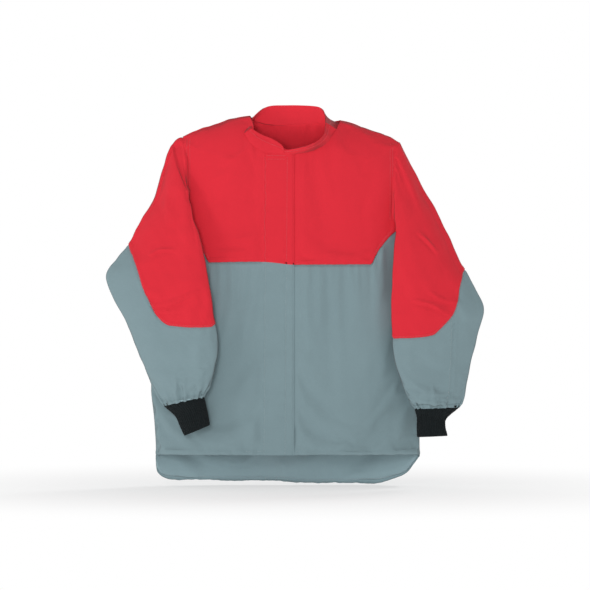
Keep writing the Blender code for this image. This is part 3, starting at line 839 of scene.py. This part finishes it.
# seams and rims as (x, y, z), from the front's free edge to the shoulder; the back's run from right to left
RIGHT_SEAM = on_body(
    [(-0.0115, 0.7500), (-0.0210, 0.7503), (-0.052, 0.753), (-0.083, 0.770), (-0.103, 0.797)], FRONT,
)
RIGHT_RIM = on_body(
    [(-0.0120, 0.7540), (-0.0185, 0.7668), (-0.040, 0.7805), (-0.065, 0.7912), (-0.0868, 0.8045)], FRONT,
    lift=0.0, out=0.0035,
)
LEFT_SEAM = on_body(
    [(-0.013, 0.7490), (0.026, 0.7525), (0.054, 0.7590), (0.083, 0.7755), (0.106, 0.806)], FRONT,
)
LEFT_RIM = [
    (-0.013, -0.047, 0.7545), (0.026, -0.058, 0.7608), (0.054, -0.066, 0.7690), (0.077, -0.056, 0.7880),
    (0.0812, -0.032, 0.8180),
]
BACK_SEAM = (
    RIGHT_SEAM[-1:]
    + on_body([(-0.093, 0.8310), (-0.060, 0.8215), (0.0, 0.816), (0.060, 0.8185), (0.111, 0.8240)], BACK)
    + LEFT_SEAM[-1:]
)
BACK_RIM = [
    RIGHT_RIM[-1], (-0.0875, -0.004, 0.8260), (-0.0565, 0.036, 0.8560), (0.0, 0.046, COLLAR_TOP_Z),
    (0.0640, 0.038, 0.8570), (0.0795, 0.012, 0.8400), LEFT_RIM[-1],
]
COLLAR_PLY = 0.0026
COLLAR_HOLLOW = 0.0060    # how far the back collar dips in where it turns at the wearer's left shoulder


def make_collar(node, seam, rim, side=None):
    """One of the collar's three pieces; the back one has no side."""
    stations = np.linspace(0, len(seam) - 1, 30 * (len(seam) - 1) + 1)
    low_edge = spline(seam, stations)
    high_edge = spline(rim, stations)
    share = np.linspace(0, 1, 21)[:, None, None]
    cloth = Cloth(low_edge[None] + (high_edge - low_edge)[None] * share)
    down = np.linalg.norm(high_edge - low_edge, axis=1)[None] * (1 - share[..., 0])
    along = stations[None] * 0.03 + 0 * down
    crown = np.sin(share[..., 0] * math.pi)
    relief = 0.0012 * crown - 0.0005 * np.exp(-((down - 0.007) / 0.0014) ** 2)
    relief = relief + pucker(down, along, 51, 0.0005) + 0.0004 * waves(52, 0.03)(along, down)
    if side is None:
        relief = relief - COLLAR_HOLLOW * crown * np.exp(-((stations - 1.0) / 0.7) ** 2)
    cloth.push(relief)
    piece = close_ply(f"{node}_cloth", cloth, COLLAR_PLY, red_cloth)
    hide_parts(node)
    thread = stitch_rows(f"{node}_stitches", piece, [cloth.points[-8, 2:-2]], red_thread)
    for made in (piece, thread):
        if side is None:
            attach(made, "torso")
        else:
            hang_on_front(made, side)


# ---- sleeves

# stations down each sleeve, seen from the front: the outer fold's x and z, the inner fold's x and z, and the
# depths of both folds
SLEEVE = {
    RIGHT: [
        (-0.244, 0.785, -0.239, 0.654, 0.0, -0.04),
        (-0.269, 0.7755, -0.231, 0.65, 0.0, -0.042),
        (-0.289, 0.7096, -0.2225, 0.63, -0.006, -0.05),
        (-0.308, 0.6473, -0.218, 0.6, -0.014, -0.056),
        (-0.34, 0.5944, -0.203, 0.56, -0.024, -0.063),
        (-0.364, 0.5435, -0.1915, 0.515, -0.032, -0.068),
        (-0.391, 0.5114, -0.185, 0.48, -0.038, -0.071),
        (-0.4145, 0.4649, -0.178, 0.44, -0.042, -0.073),
        (-0.3695, 0.366, -0.169, 0.371, -0.048, -0.073),
        (-0.3435, 0.305, -0.16, 0.314, -0.052, -0.073),
        (-0.318, 0.2486, -0.171, 0.255, -0.056, -0.072),
        (-0.283, 0.18, -0.192, 0.2, -0.06, -0.07),
    ],
    LEFT: [
        (0.246, 0.775, 0.24, 0.6, 0.0, -0.034),
        (0.274, 0.7241, 0.2397, 0.592, 0.0, -0.038),
        (0.3006, 0.6735, 0.2392, 0.585, -0.006, -0.044),
        (0.3243, 0.6328, 0.238, 0.572, -0.014, -0.05),
        (0.3526, 0.5763, 0.235, 0.54, -0.022, -0.056),
        (0.381, 0.5108, 0.2315, 0.5, -0.03, -0.06),
        (0.4181, 0.4452, 0.228, 0.445, -0.038, -0.063),
        (0.436, 0.3937, 0.227, 0.395, -0.042, -0.065),
        (0.418, 0.326, 0.229, 0.335, -0.048, -0.067),
        (0.4057, 0.2712, 0.2346, 0.283, -0.052, -0.068),
        (0.3932, 0.21, 0.258, 0.218, -0.056, -0.068),
        (0.379, 0.177, 0.28, 0.1735, -0.06, -0.068),
    ],
}
CUFF = {
    RIGHT: [
        (-0.2815, 0.1785, -0.1925, 0.1985, -0.06, -0.07),
        (-0.2576, 0.157, -0.1885, 0.18, -0.061, -0.069),
        (-0.2475, 0.136, -0.184, 0.16, -0.062, -0.068),
        (-0.237, 0.113, -0.18, 0.137, -0.062, -0.068),
    ],
    LEFT: [
        (0.378, 0.1752, 0.2805, 0.1717, -0.06, -0.068),
        (0.352, 0.1526, 0.285, 0.155, -0.061, -0.067),
        (0.3485, 0.135, 0.2852, 0.132, -0.062, -0.066),
        (0.3537, 0.113, 0.2857, 0.11, -0.062, -0.066),
    ],
}
# how far the front and back walls stand out from the folds at each station
SLEEVE_BULGE = [
    (0.016, 0.036), (0.02, 0.036), (0.024, 0.034), (0.026, 0.03), (0.028, 0.026), (0.03, 0.026),
    (0.031, 0.027), (0.032, 0.028), (0.031, 0.028), (0.03, 0.028), (0.029, 0.027), (0.024, 0.022),
]
CUFF_BULGE = [(0.022, 0.02), (0.019, 0.018), (0.018, 0.017), (0.018, 0.017)]
# the armholes as (x, y, z), from the shoulder tip down the front, under the arm and up the back
ARMHOLE = {
    RIGHT: [
        (-0.245, 0.0, 0.7857), (-0.2392, -0.02, 0.745), (-0.2387, -0.025, 0.705), (-0.2387, -0.0275, 0.672),
        (-0.2385, -0.027, 0.645), (-0.26, -0.005, 0.596), (-0.257, 0.018, 0.625), (-0.2395, 0.025, 0.724),
    ],
    LEFT: [
        (0.2475, 0.0, 0.7752), (0.2395, -0.0185, 0.738), (0.2387, -0.0245, 0.69), (0.2387, -0.0262, 0.64),
        (0.24, -0.0262, 0.606), (0.262, -0.006, 0.598), (0.257, 0.018, 0.624), (0.2395, 0.025, 0.716),
    ],
}
LAST = len(SLEEVE_BULGE) - 1
ROOT_REACH = 2.0          # stations over which a sleeve grows from the armhole's shape into its own
CLEARANCE = 0.0075        # from the body to the back wall that rests on it
SPLIT = 4.3               # station where the shoulder's piece ends and the elbow's begins
TUCK = 0.965              # the sleeve's root starts this much narrower, under the body's edge

# where red gives way to grey, as (degrees round the sleeve, station): the front wall is 0 to 180
COLOUR_SEAM = {
    RIGHT: [
        (0, 5.0), (7, 5.03), (38, 5.5), (53, 6.0), (63, 6.4), (70, 6.79), (74, 7.3), (77, 7.75),
        (89, 8.04), (121, 8.11), (180, 8.11), (205, 7.6), (232, 5.7), (262, 5.1), (360, 5.0),
    ],
    LEFT: [
        (0, 5.35), (15, 5.4), (36, 5.66), (48, 5.93), (55, 6.24), (62, 6.6), (69, 7.07), (83, 7.58),
        (91, 7.78), (123, 7.95), (180, 8.01), (205, 7.6), (232, 5.9), (262, 5.5), (360, 5.35),
    ],
}

# creases as (path of (x, z), height, width)
SLEEVE_FOLDS = {
    RIGHT: [
        ([(-0.318, 0.519), (-0.29, 0.531), (-0.256, 0.53)], 0.0045, 0.0045),
        ([(-0.314, 0.405), (-0.262, 0.415), (-0.198, 0.443)], 0.0065, 0.0055),
        ([(-0.304, 0.398), (-0.27, 0.396), (-0.235, 0.404)], 0.0042, 0.0045),
        ([(-0.345, 0.47), (-0.32, 0.44), (-0.29, 0.425)], 0.003, 0.01),
        ([(-0.275, 0.7), (-0.285, 0.64), (-0.27, 0.58)], 0.003, 0.014),
        ([(-0.33, 0.33), (-0.29, 0.3), (-0.23, 0.3)], 0.003, 0.016),
        ([(-0.2, 0.36), (-0.215, 0.3), (-0.205, 0.25)], 0.0028, 0.014),
        ([(-0.262, 0.26), (-0.258, 0.235), (-0.262, 0.205)], 0.0034, 0.006),
        ([(-0.236, 0.25), (-0.24, 0.225), (-0.235, 0.2)], 0.003, 0.005),
    ],
    LEFT: [
        ([(0.288, 0.572), (0.31, 0.552), (0.335, 0.524)], 0.0055, 0.005),
        ([(0.272, 0.421), (0.318, 0.409), (0.364, 0.385)], 0.006, 0.005),
        ([(0.31, 0.44), (0.345, 0.42), (0.385, 0.415)], 0.0042, 0.0055),
        ([(0.35, 0.43), (0.38, 0.405), (0.4, 0.37)], 0.0034, 0.013),
        ([(0.262, 0.7), (0.285, 0.64), (0.29, 0.58)], 0.0026, 0.014),
        ([(0.3, 0.3), (0.345, 0.27), (0.375, 0.28)], 0.003, 0.016),
        ([(0.27, 0.33), (0.262, 0.28), (0.285, 0.23)], 0.0026, 0.014),
        ([(0.318, 0.235), (0.322, 0.212), (0.318, 0.188)], 0.0032, 0.006),
    ],
}
# the right sleeve laps over itself below the shoulder tip, and the left one has a seam down its forearm
SLEEVE_LAP = [(-0.266, 0.771), (-0.2554, 0.721), (-0.2414, 0.68), (-0.227, 0.646)]
FOREARM_SEAM = [(0.371, 0.384), (0.368, 0.289), (0.362, 0.195)]


def tube_points(stations, bulges, t, angle, armhole=None):
    """Points of a flattened tube: angle 0 is the outer fold, pi the inner fold, the front wall between."""
    outer_x, outer_z, inner_x, inner_z, outer_y, inner_y = np.moveaxis(spline(stations, t), -1, 0)
    front, back = np.moveaxis(spline(bulges, t), -1, 0)
    share = (1 - np.cos(angle)) / 2
    x = outer_x + (inner_x - outer_x) * share
    z = outer_z + (inner_z - outer_z) * share
    y = outer_y + (inner_y - outer_y) * share
    rise = np.sign(np.sin(angle)) * np.abs(np.sin(angle)) ** 0.85
    y = y - rise * np.where(rise > 0, front, back)
    if armhole is None:
        return np.stack([x, y, z], axis=-1)
    limit = np.where(z < ARMPIT_Z + 0.02, half_width(x, z), ARMHOLE_X + CLEARANCE)
    resting = (rise < 0) & (np.abs(x) < limit)
    y = np.where(resting, np.minimum(y, -body_depth(x, z) - CLEARANCE), y)
    place = np.stack([x, y, z], axis=-1)
    ring = armhole[-2:] + armhole + armhole[:3]
    root = spline(ring, 2 + (angle / (2 * math.pi)) % 1.0 * len(armhole))
    hidden = root * (TUCK, TUCK ** 2, 1.0) - (0.0, 0.0, 0.002)
    root = root + (hidden - root) * smooth(1 - t / 0.4)[..., None]
    return root + (place - root) * smooth(t / ROOT_REACH)[..., None]


def around(cols, side):
    """Angles around a tube, in the order that turns its cloth's outer face outwards."""
    return np.linspace(0, 2 * math.pi, cols, endpoint=False)[None, ::side]


def sleeve_tube(side, t, angle):
    return Cloth(tube_points(SLEEVE[side], SLEEVE_BULGE, t, angle, ARMHOLE[side]), closed=True)


def settled_sleeve(side):
    """How far each place of a whole sleeve moves as its cloth settles, for any stations and angles."""
    rows, cols = 150, 120
    grid_t = np.linspace(0, LAST, rows)[:, None]
    grid_angle = around(cols, side)
    cloth = sleeve_tube(side, grid_t + 0 * grid_angle, grid_angle + 0 * grid_t)
    before = cloth.points
    settle(cloth, slack=0.03, reach=0.007, share=smooth(np.abs(np.sin(grid_angle)) / 0.5))
    moved = (cloth.points - before)[:, ::side]

    def at(t, angle):
        r = np.clip(t / LAST * (rows - 1), 0, rows - 1.001)
        c = angle / (2 * math.pi) * cols
        r0, c0 = np.floor(r).astype(int), np.floor(c).astype(int)
        fr, fc = (r - r0)[..., None], (c - c0)[..., None]
        c0, c1 = c0 % cols, (c0 + 1) % cols
        upper = moved[r0, c0] * (1 - fc) + moved[r0, c1] * fc
        lower = moved[r0 + 1, c0] * (1 - fc) + moved[r0 + 1, c1] * fc
        return upper * (1 - fr) + lower * fr

    return at


def sleeve_relief(side, cloth, t, angle):
    x, z = cloth.seen()
    front = smooth((np.sin(angle) + 0.1) / 0.5)
    relief = 0.0010 * waves(61 + side, 0.11)(x, z) + 0.0005 * waves(63 + side, 0.04)(x, z * 0.8)
    for path, height, width in SLEEVE_FOLDS[side]:
        relief = relief + fold(x, z, path, height, width) * front
        relief = relief - fold(x, z, path, height * 0.8, width * 1.3) * (1 - front)
    if side == RIGHT:
        far, along, beside = distance_to(SLEEVE_LAP, x, z)
        lap = smooth(0.5 - beside * far / 0.0032) * np.exp(-(far / 0.030) ** 2) * smooth((1 - along) / 0.2)
        relief = relief + 0.0055 * lap * front
    else:
        far, along, _ = distance_to(FOREARM_SEAM, x, z)
        fade = smooth(np.minimum(along, 1 - along) / 0.05)
        relief = relief + (seam_relief(far) - ROLL * 0.2) * front * fade
    # gathers above the cuff, and the cloth that bulges there
    to_cuff = LAST - t
    gathers = np.sin(angle * 17 + 1.2 * np.sin(angle * 3)) * (0.6 + 0.4 * np.sin(angle * 5 + 1))
    relief = relief + 0.0028 * smooth((1.1 - to_cuff) / 1.1) * gathers
    relief = relief + 0.0030 * smooth((1.4 - to_cuff) / 0.7) * smooth(to_cuff / 0.4)
    return relief * smooth(t / 0.5)


def beside_edge(cloth, distance):
    """A line on a closed cloth at a distance from its last row."""
    edge = cloth.points[-1]
    inwards = np.cross(cloth.normals()[-1], np.roll(edge, -1, axis=0) - np.roll(edge, 1, axis=0))
    inwards /= np.linalg.norm(inwards, axis=1, keepdims=True)
    inwards *= np.sign(np.sum(inwards * (cloth.points[-8] - edge), axis=1, keepdims=True))
    return edge + inwards * distance


def distance_from(line, cloth):
    """Distance of each point of a cloth from a closed line in space."""
    dense = spline(np.vstack([line, line[:1]]), np.arange(0, len(line), 0.1))
    tree = KDTree(len(dense))
    for number, place in enumerate(dense):
        tree.insert(place, number)
    tree.balance()
    far = [tree.find(place)[2] for place in cloth.points.reshape(-1, 3)]
    return np.array(far).reshape(cloth.points.shape[:2])


def sleeve_length(side, settled, start, end, length):
    """A length of a settled sleeve with its relief; its limits are stations that depend on the angle."""
    angle = around(240, side)
    share = shares(length, SLEEVE_CELL)[:, None]
    t = start(angle) + (end(angle) - start(angle)) * share
    angle = angle + 0 * t
    cloth = sleeve_tube(side, t, angle)
    relief = sleeve_relief(side, cloth, t, angle)
    cloth.points = cloth.points + settled(t, angle)
    cloth.push(relief)
    return cloth


def hang_on_arm(piece):
    """Bake a piece's transform into its mesh."""
    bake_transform(piece)


def make_sleeve(side):
    name = SIDE_NAME[side]
    colour_seam = outline(COLOUR_SEAM[side])
    settled = settled_sleeve(side)

    def seam(angle):
        return colour_seam(np.degrees(angle))

    cap = sleeve_length(side, settled, constant(0.0), constant(SPLIT), 0.20)
    shoulder = close_ply(f"{name}_sleeve_shoulder_cloth", cap, PLY, red_cloth)
    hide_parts(f"{name}_sleeve_cap", f"{name}_upper_sleeve")
    hang_on_arm(shoulder)

    red = sleeve_length(side, settled, constant(SPLIT), seam, 0.16)
    seam_line = red.points[-1].copy()
    red.push(seam_relief(distance_from(seam_line, red)))
    elbow = close_ply(f"{name}_sleeve_elbow_cloth", red, PLY, red_cloth)
    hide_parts(f"{name}_elbow_front")
    rows = [beside_edge(red, distance) for distance in SEAM_ROWS]
    stitches = [stitch_rows(f"{name}_elbow_stitches", elbow, rows, red_thread)]

    grey = sleeve_length(side, settled, lambda angle: seam(angle) - 0.09, constant(LAST), 0.30)
    grey.push(-0.0014 * smooth((0.006 - distance_from(seam_line, grey)) / 0.006))
    forearm = close_ply(f"{name}_sleeve_forearm_cloth", grey, PLY, grey_cloth)
    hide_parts(f"{name}_elbow_back", f"{name}_forearm")
    if side == LEFT:
        path = spline([(x - 0.004, -0.10, z) for x, z in FOREARM_SEAM], np.linspace(0, 2, 40))
        stitches.append(stitch_rows("left_forearm_stitches", forearm, [path], grey_thread))
    for piece in (elbow, forearm, *stitches):
        hang_on_arm(piece)


def make_cuff(side):
    ribs = 46
    last = len(CUFF_BULGE) - 1
    angle = around(ribs * 6, side)
    t = np.linspace(-0.2, last, 40)[:, None]
    angle, t = angle + 0 * t, t + 0 * angle
    cloth = Cloth(tube_points(CUFF[side], CUFF_BULGE, t, angle), closed=True)
    relief = 0.0011 * (np.abs(np.sin(angle * ribs / 2)) ** 0.7 - 0.5) + 0.0006 * waves(71, 0.03)(t, angle)
    relief = relief - 0.002 * smooth(-t / 0.2) - 0.0012 * (1 - smooth((last - t) / 0.12))
    cloth.push(relief)
    piece = close_ply(f"{SIDE_NAME[side]}_cuff_knit", cloth, 0.0022, knit)
    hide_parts(f"{SIDE_NAME[side]}_cuff")
    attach(piece, f"{SIDE_NAME[side]}_lower_arm")


# ---- the jacket

def make_body():
    pieces = {}
    for side, name in SIDE_NAME.items():
        pieces[f"{name}_yoke"] = make_front(side, lower_piece=False)
        pieces[f"{name}_panel"] = make_front(side, lower_piece=True)
    pieces["back_yoke"] = make_back(lower_piece=False)
    pieces["back_panel"] = make_back(lower_piece=True)
    return pieces


def make_closure():
    strip_x = (TAPE_X[0] - 0.005, RIGHT_EDGE_X)
    tape_z = tuple(map(constant, TAPE_Z))
    facing_z = (constant(low("right_front_facing", "z")), constant(high("right_front_facing", "z")))
    top = make_strip("placket_top_cloth", "placket_strip_top", strip_x, (seam_z, constant(STRIP_TOP_Z)),
                     -LAYER, PLY, red_cloth, RIGHT, TAPE_X)
    bottom = make_strip("placket_bottom_cloth", "placket_strip_bottom", strip_x,
                        (constant(FRONT_HEM_Z), seam_z), -0.8 * LAYER, PLY, grey_cloth, RIGHT, TAPE_X)
    make_strip("right_facing_cloth", "right_front_facing", (STRIP_EDGE_X, 0.001), facing_z,
               1.25 * LAYER, 0.0006, red_cloth, RIGHT)
    make_strip("hook_tape_pile", "hook_tape", (TAPE_X[0], -0.006), tape_z, 1.9 * LAYER, 0.0007, hooks, RIGHT)
    make_strip("loop_tape_pile", "loop_tape", (LEFT_EDGE_X + 0.001, -0.006), tape_z,
               2.7 * LAYER, 0.0007, loops, LEFT)
    make_strip("left_facing_cloth", "left_front_facing", (LEFT_EDGE_X, -0.004), facing_z,
               4.9 * LAYER, 0.0009, red_cloth, LEFT)
    z_top = np.linspace(SEAM_Z + 0.002, STRIP_TOP_Z - 0.004, 60)
    z_low = np.linspace(FRONT_HEM_Z + 0.002, SEAM_Z - 0.002, 110)
    across = np.linspace(TAPE_X[0] + 0.004, TAPE_X[1] + 0.002, 20)
    down = [body_line(FRONT, leaning(x, z_top), z_top) for x in TAPE_X]
    ends = [body_line(FRONT, across, STRIP_TOP_Z - below) for below in (0.004, 0.012)]
    further_down = [body_line(FRONT, leaning(x, z_low), z_low) for x in TAPE_X]
    for title, ground, lines, thread in (
        ("placket_top_stitches", top, down + ends, red_thread),
        ("placket_bottom_stitches", bottom, further_down, grey_thread),
    ):
        lines = [line - (0.0, 0.003, 0.0) for line in lines]
        hang_on_front(stitch_rows(title, ground, lines, thread), RIGHT)


def yoke_rows(side, inner):
    """Rows of stitches along a front yoke's seam and armhole."""
    wedge_x = side * np.linspace(0.186, ARMHOLE_X - 0.004, 25)
    x = np.concatenate([np.linspace(inner, side * 0.180, 60), wedge_x])
    z = seam_z(x) + np.where(np.abs(x) > WEDGE[0][0], 0.002, 0.0)
    arm_z = np.linspace(0.600, shoulder_z(side * ARMHOLE_X) - 0.006, 60)
    rows = [body_line(FRONT, x, z + up) for up in SEAM_ROWS]
    return rows + [body_line(FRONT, side * (ARMHOLE_X - inwards), arm_z) for inwards in (0.0025, 0.0085)]


def make_stitching(pieces):
    for side, name in SIDE_NAME.items():
        inner = STRIP_EDGE_X - 0.002 if side == RIGHT else 0.013
        rows = yoke_rows(side, inner)
        hang_on_front(stitch_rows(f"{name}_yoke_stitches", pieces[f"{name}_yoke"], rows, red_thread), side)
        x = np.linspace(inner, side * (float(half_width(side, FRONT_HEM_Z)) - 0.004), 90)
        rows = [body_line(FRONT, x, FRONT_HEM_Z + HEM_STITCH)]
        hang_on_front(stitch_rows(f"{name}_hem_stitches", pieces[f"{name}_panel"], rows, grey_thread), side)
    x = np.linspace(-HEM_RIGHT + 0.024, HEM_LEFT - 0.012, 160)
    outside = body_line(BACK, x, tail_z(x) + HEM_STITCH)
    inside = outside - (0.0, 0.006, 0.0)
    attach(stitch_rows("tail_stitches", pieces["back_panel"], [outside, inside], grey_thread), "torso")
    x = np.linspace(-0.27, 0.27, 120)
    rows = [body_line(BACK, x, SEAM_Z + up) for up in SEAM_ROWS]
    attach(stitch_rows("back_yoke_stitches", pieces["back_yoke"], rows, red_thread), "torso")


def make_jacket():
    pieces = make_body()
    make_closure()
    make_collar("collar_right", RIGHT_SEAM[::-1], RIGHT_RIM[::-1], RIGHT)
    make_collar("collar_left", LEFT_SEAM, LEFT_RIM, LEFT)
    make_collar("collar_back", BACK_SEAM[::-1], BACK_RIM[::-1])
    for side in (RIGHT, LEFT):
        make_sleeve(side)
        make_cuff(side)
    make_stitching(pieces)


# ---- stage, light and camera

FRAME_WIDTH = 1.333       # width of the view at its centre
VIEW_CENTRE = np.array((0.0113, -0.020, 0.429))
LENS = 200.0
SENSOR = 36.0


def make_floor():
    floor = add_mesh("floor", [(-8, -8, 0), (8, -8, 0), (8, 8, 0), (-8, 8, 0)], [(0, 1, 2, 3)], None)
    floor.location.z = CAD_BOX[0][2] - 0.004
    made, tree, shader, place = shader_tools("pale_floor")
    fill(tree, shader, Base_Color=(0.93, 0.93, 0.93, 1.0), Roughness=0.9)
    away = add_node(tree, "VectorMath", "Value", {"operation": "LENGTH"}, Vector=place)
    glow = add_node(tree, "MapRange", 0, {"interpolation_type": "SMOOTHSTEP"}, Value=away,
                    From_Min=0.3, From_Max=1.2, To_Min=0.55)
    white = add_node(tree, "Emission")
    mix = tree.nodes.new("ShaderNodeMixShader")
    for socket, value in zip(mix.inputs, (glow, shader.outputs[0], white)):
        tree.links.new(value, socket)
    tree.links.new(mix.outputs[0], tree.nodes["Material Output"].inputs["Surface"])
    floor.data.materials.append(made)


def add_light(name, place, size, power):
    data = bpy.data.lights.new(name, "AREA")
    data.shape = "DISK"
    data.size = size
    data.energy = power
    made = bpy.data.objects.new(name, data)
    bpy.context.scene.collection.objects.link(made)
    made.location = place
    direction = np.array((0.0, 0.0, 0.45)) - place
    made.rotation_euler = (
        math.atan2(math.hypot(direction[0], direction[1]), -direction[2]),
        0.0,
        math.atan2(direction[1], direction[0]) - math.pi / 2,
    )


def make_light():
    world = bpy.data.worlds.new("studio")
    bpy.context.scene.world = world
    world.use_nodes = True
    tree = world.node_tree
    seen = add_node(tree, "LightPath", "Is Camera Ray")
    strength = add_node(tree, "MapRange", Value=seen, To_Min=0.45, To_Max=1.0)
    fill(tree, tree.nodes["Background"], Color=(1.0, 1.0, 1.0, 1.0), Strength=strength)
    add_light("key", (-0.7, -3.4, 1.05), 0.9, 24.0)
    add_light("low", (-0.5, -3.4, 0.22), 0.9, 15.0)
    add_light("side", (-2.9, -1.3, 0.95), 0.7, 17.0)
    add_light("fill", (2.4, -2.6, 0.5), 1.6, 4.0)
    add_light("back_key", (2.0, 2.2, 2.2), 1.2, 44.0)
    add_light("back_fill", (-2.4, 2.2, 1.2), 1.6, 14.0)


def make_camera():
    data = bpy.data.cameras.new("camera")
    data.lens = LENS
    data.sensor_width = SENSOR
    made = bpy.data.objects.new("camera", data)
    bpy.context.scene.collection.objects.link(made)
    away = FRAME_WIDTH * LENS / SENSOR
    made.location = VIEW_CENTRE + MIDDLE - (0.0, away, 0.0)
    made.rotation_euler = (math.pi / 2, 0.0, 0.0)
    bpy.context.scene.camera = made
    bpy.context.scene.view_settings.view_transform = "Standard"


make_jacket()
make_floor()
make_light()
make_camera()
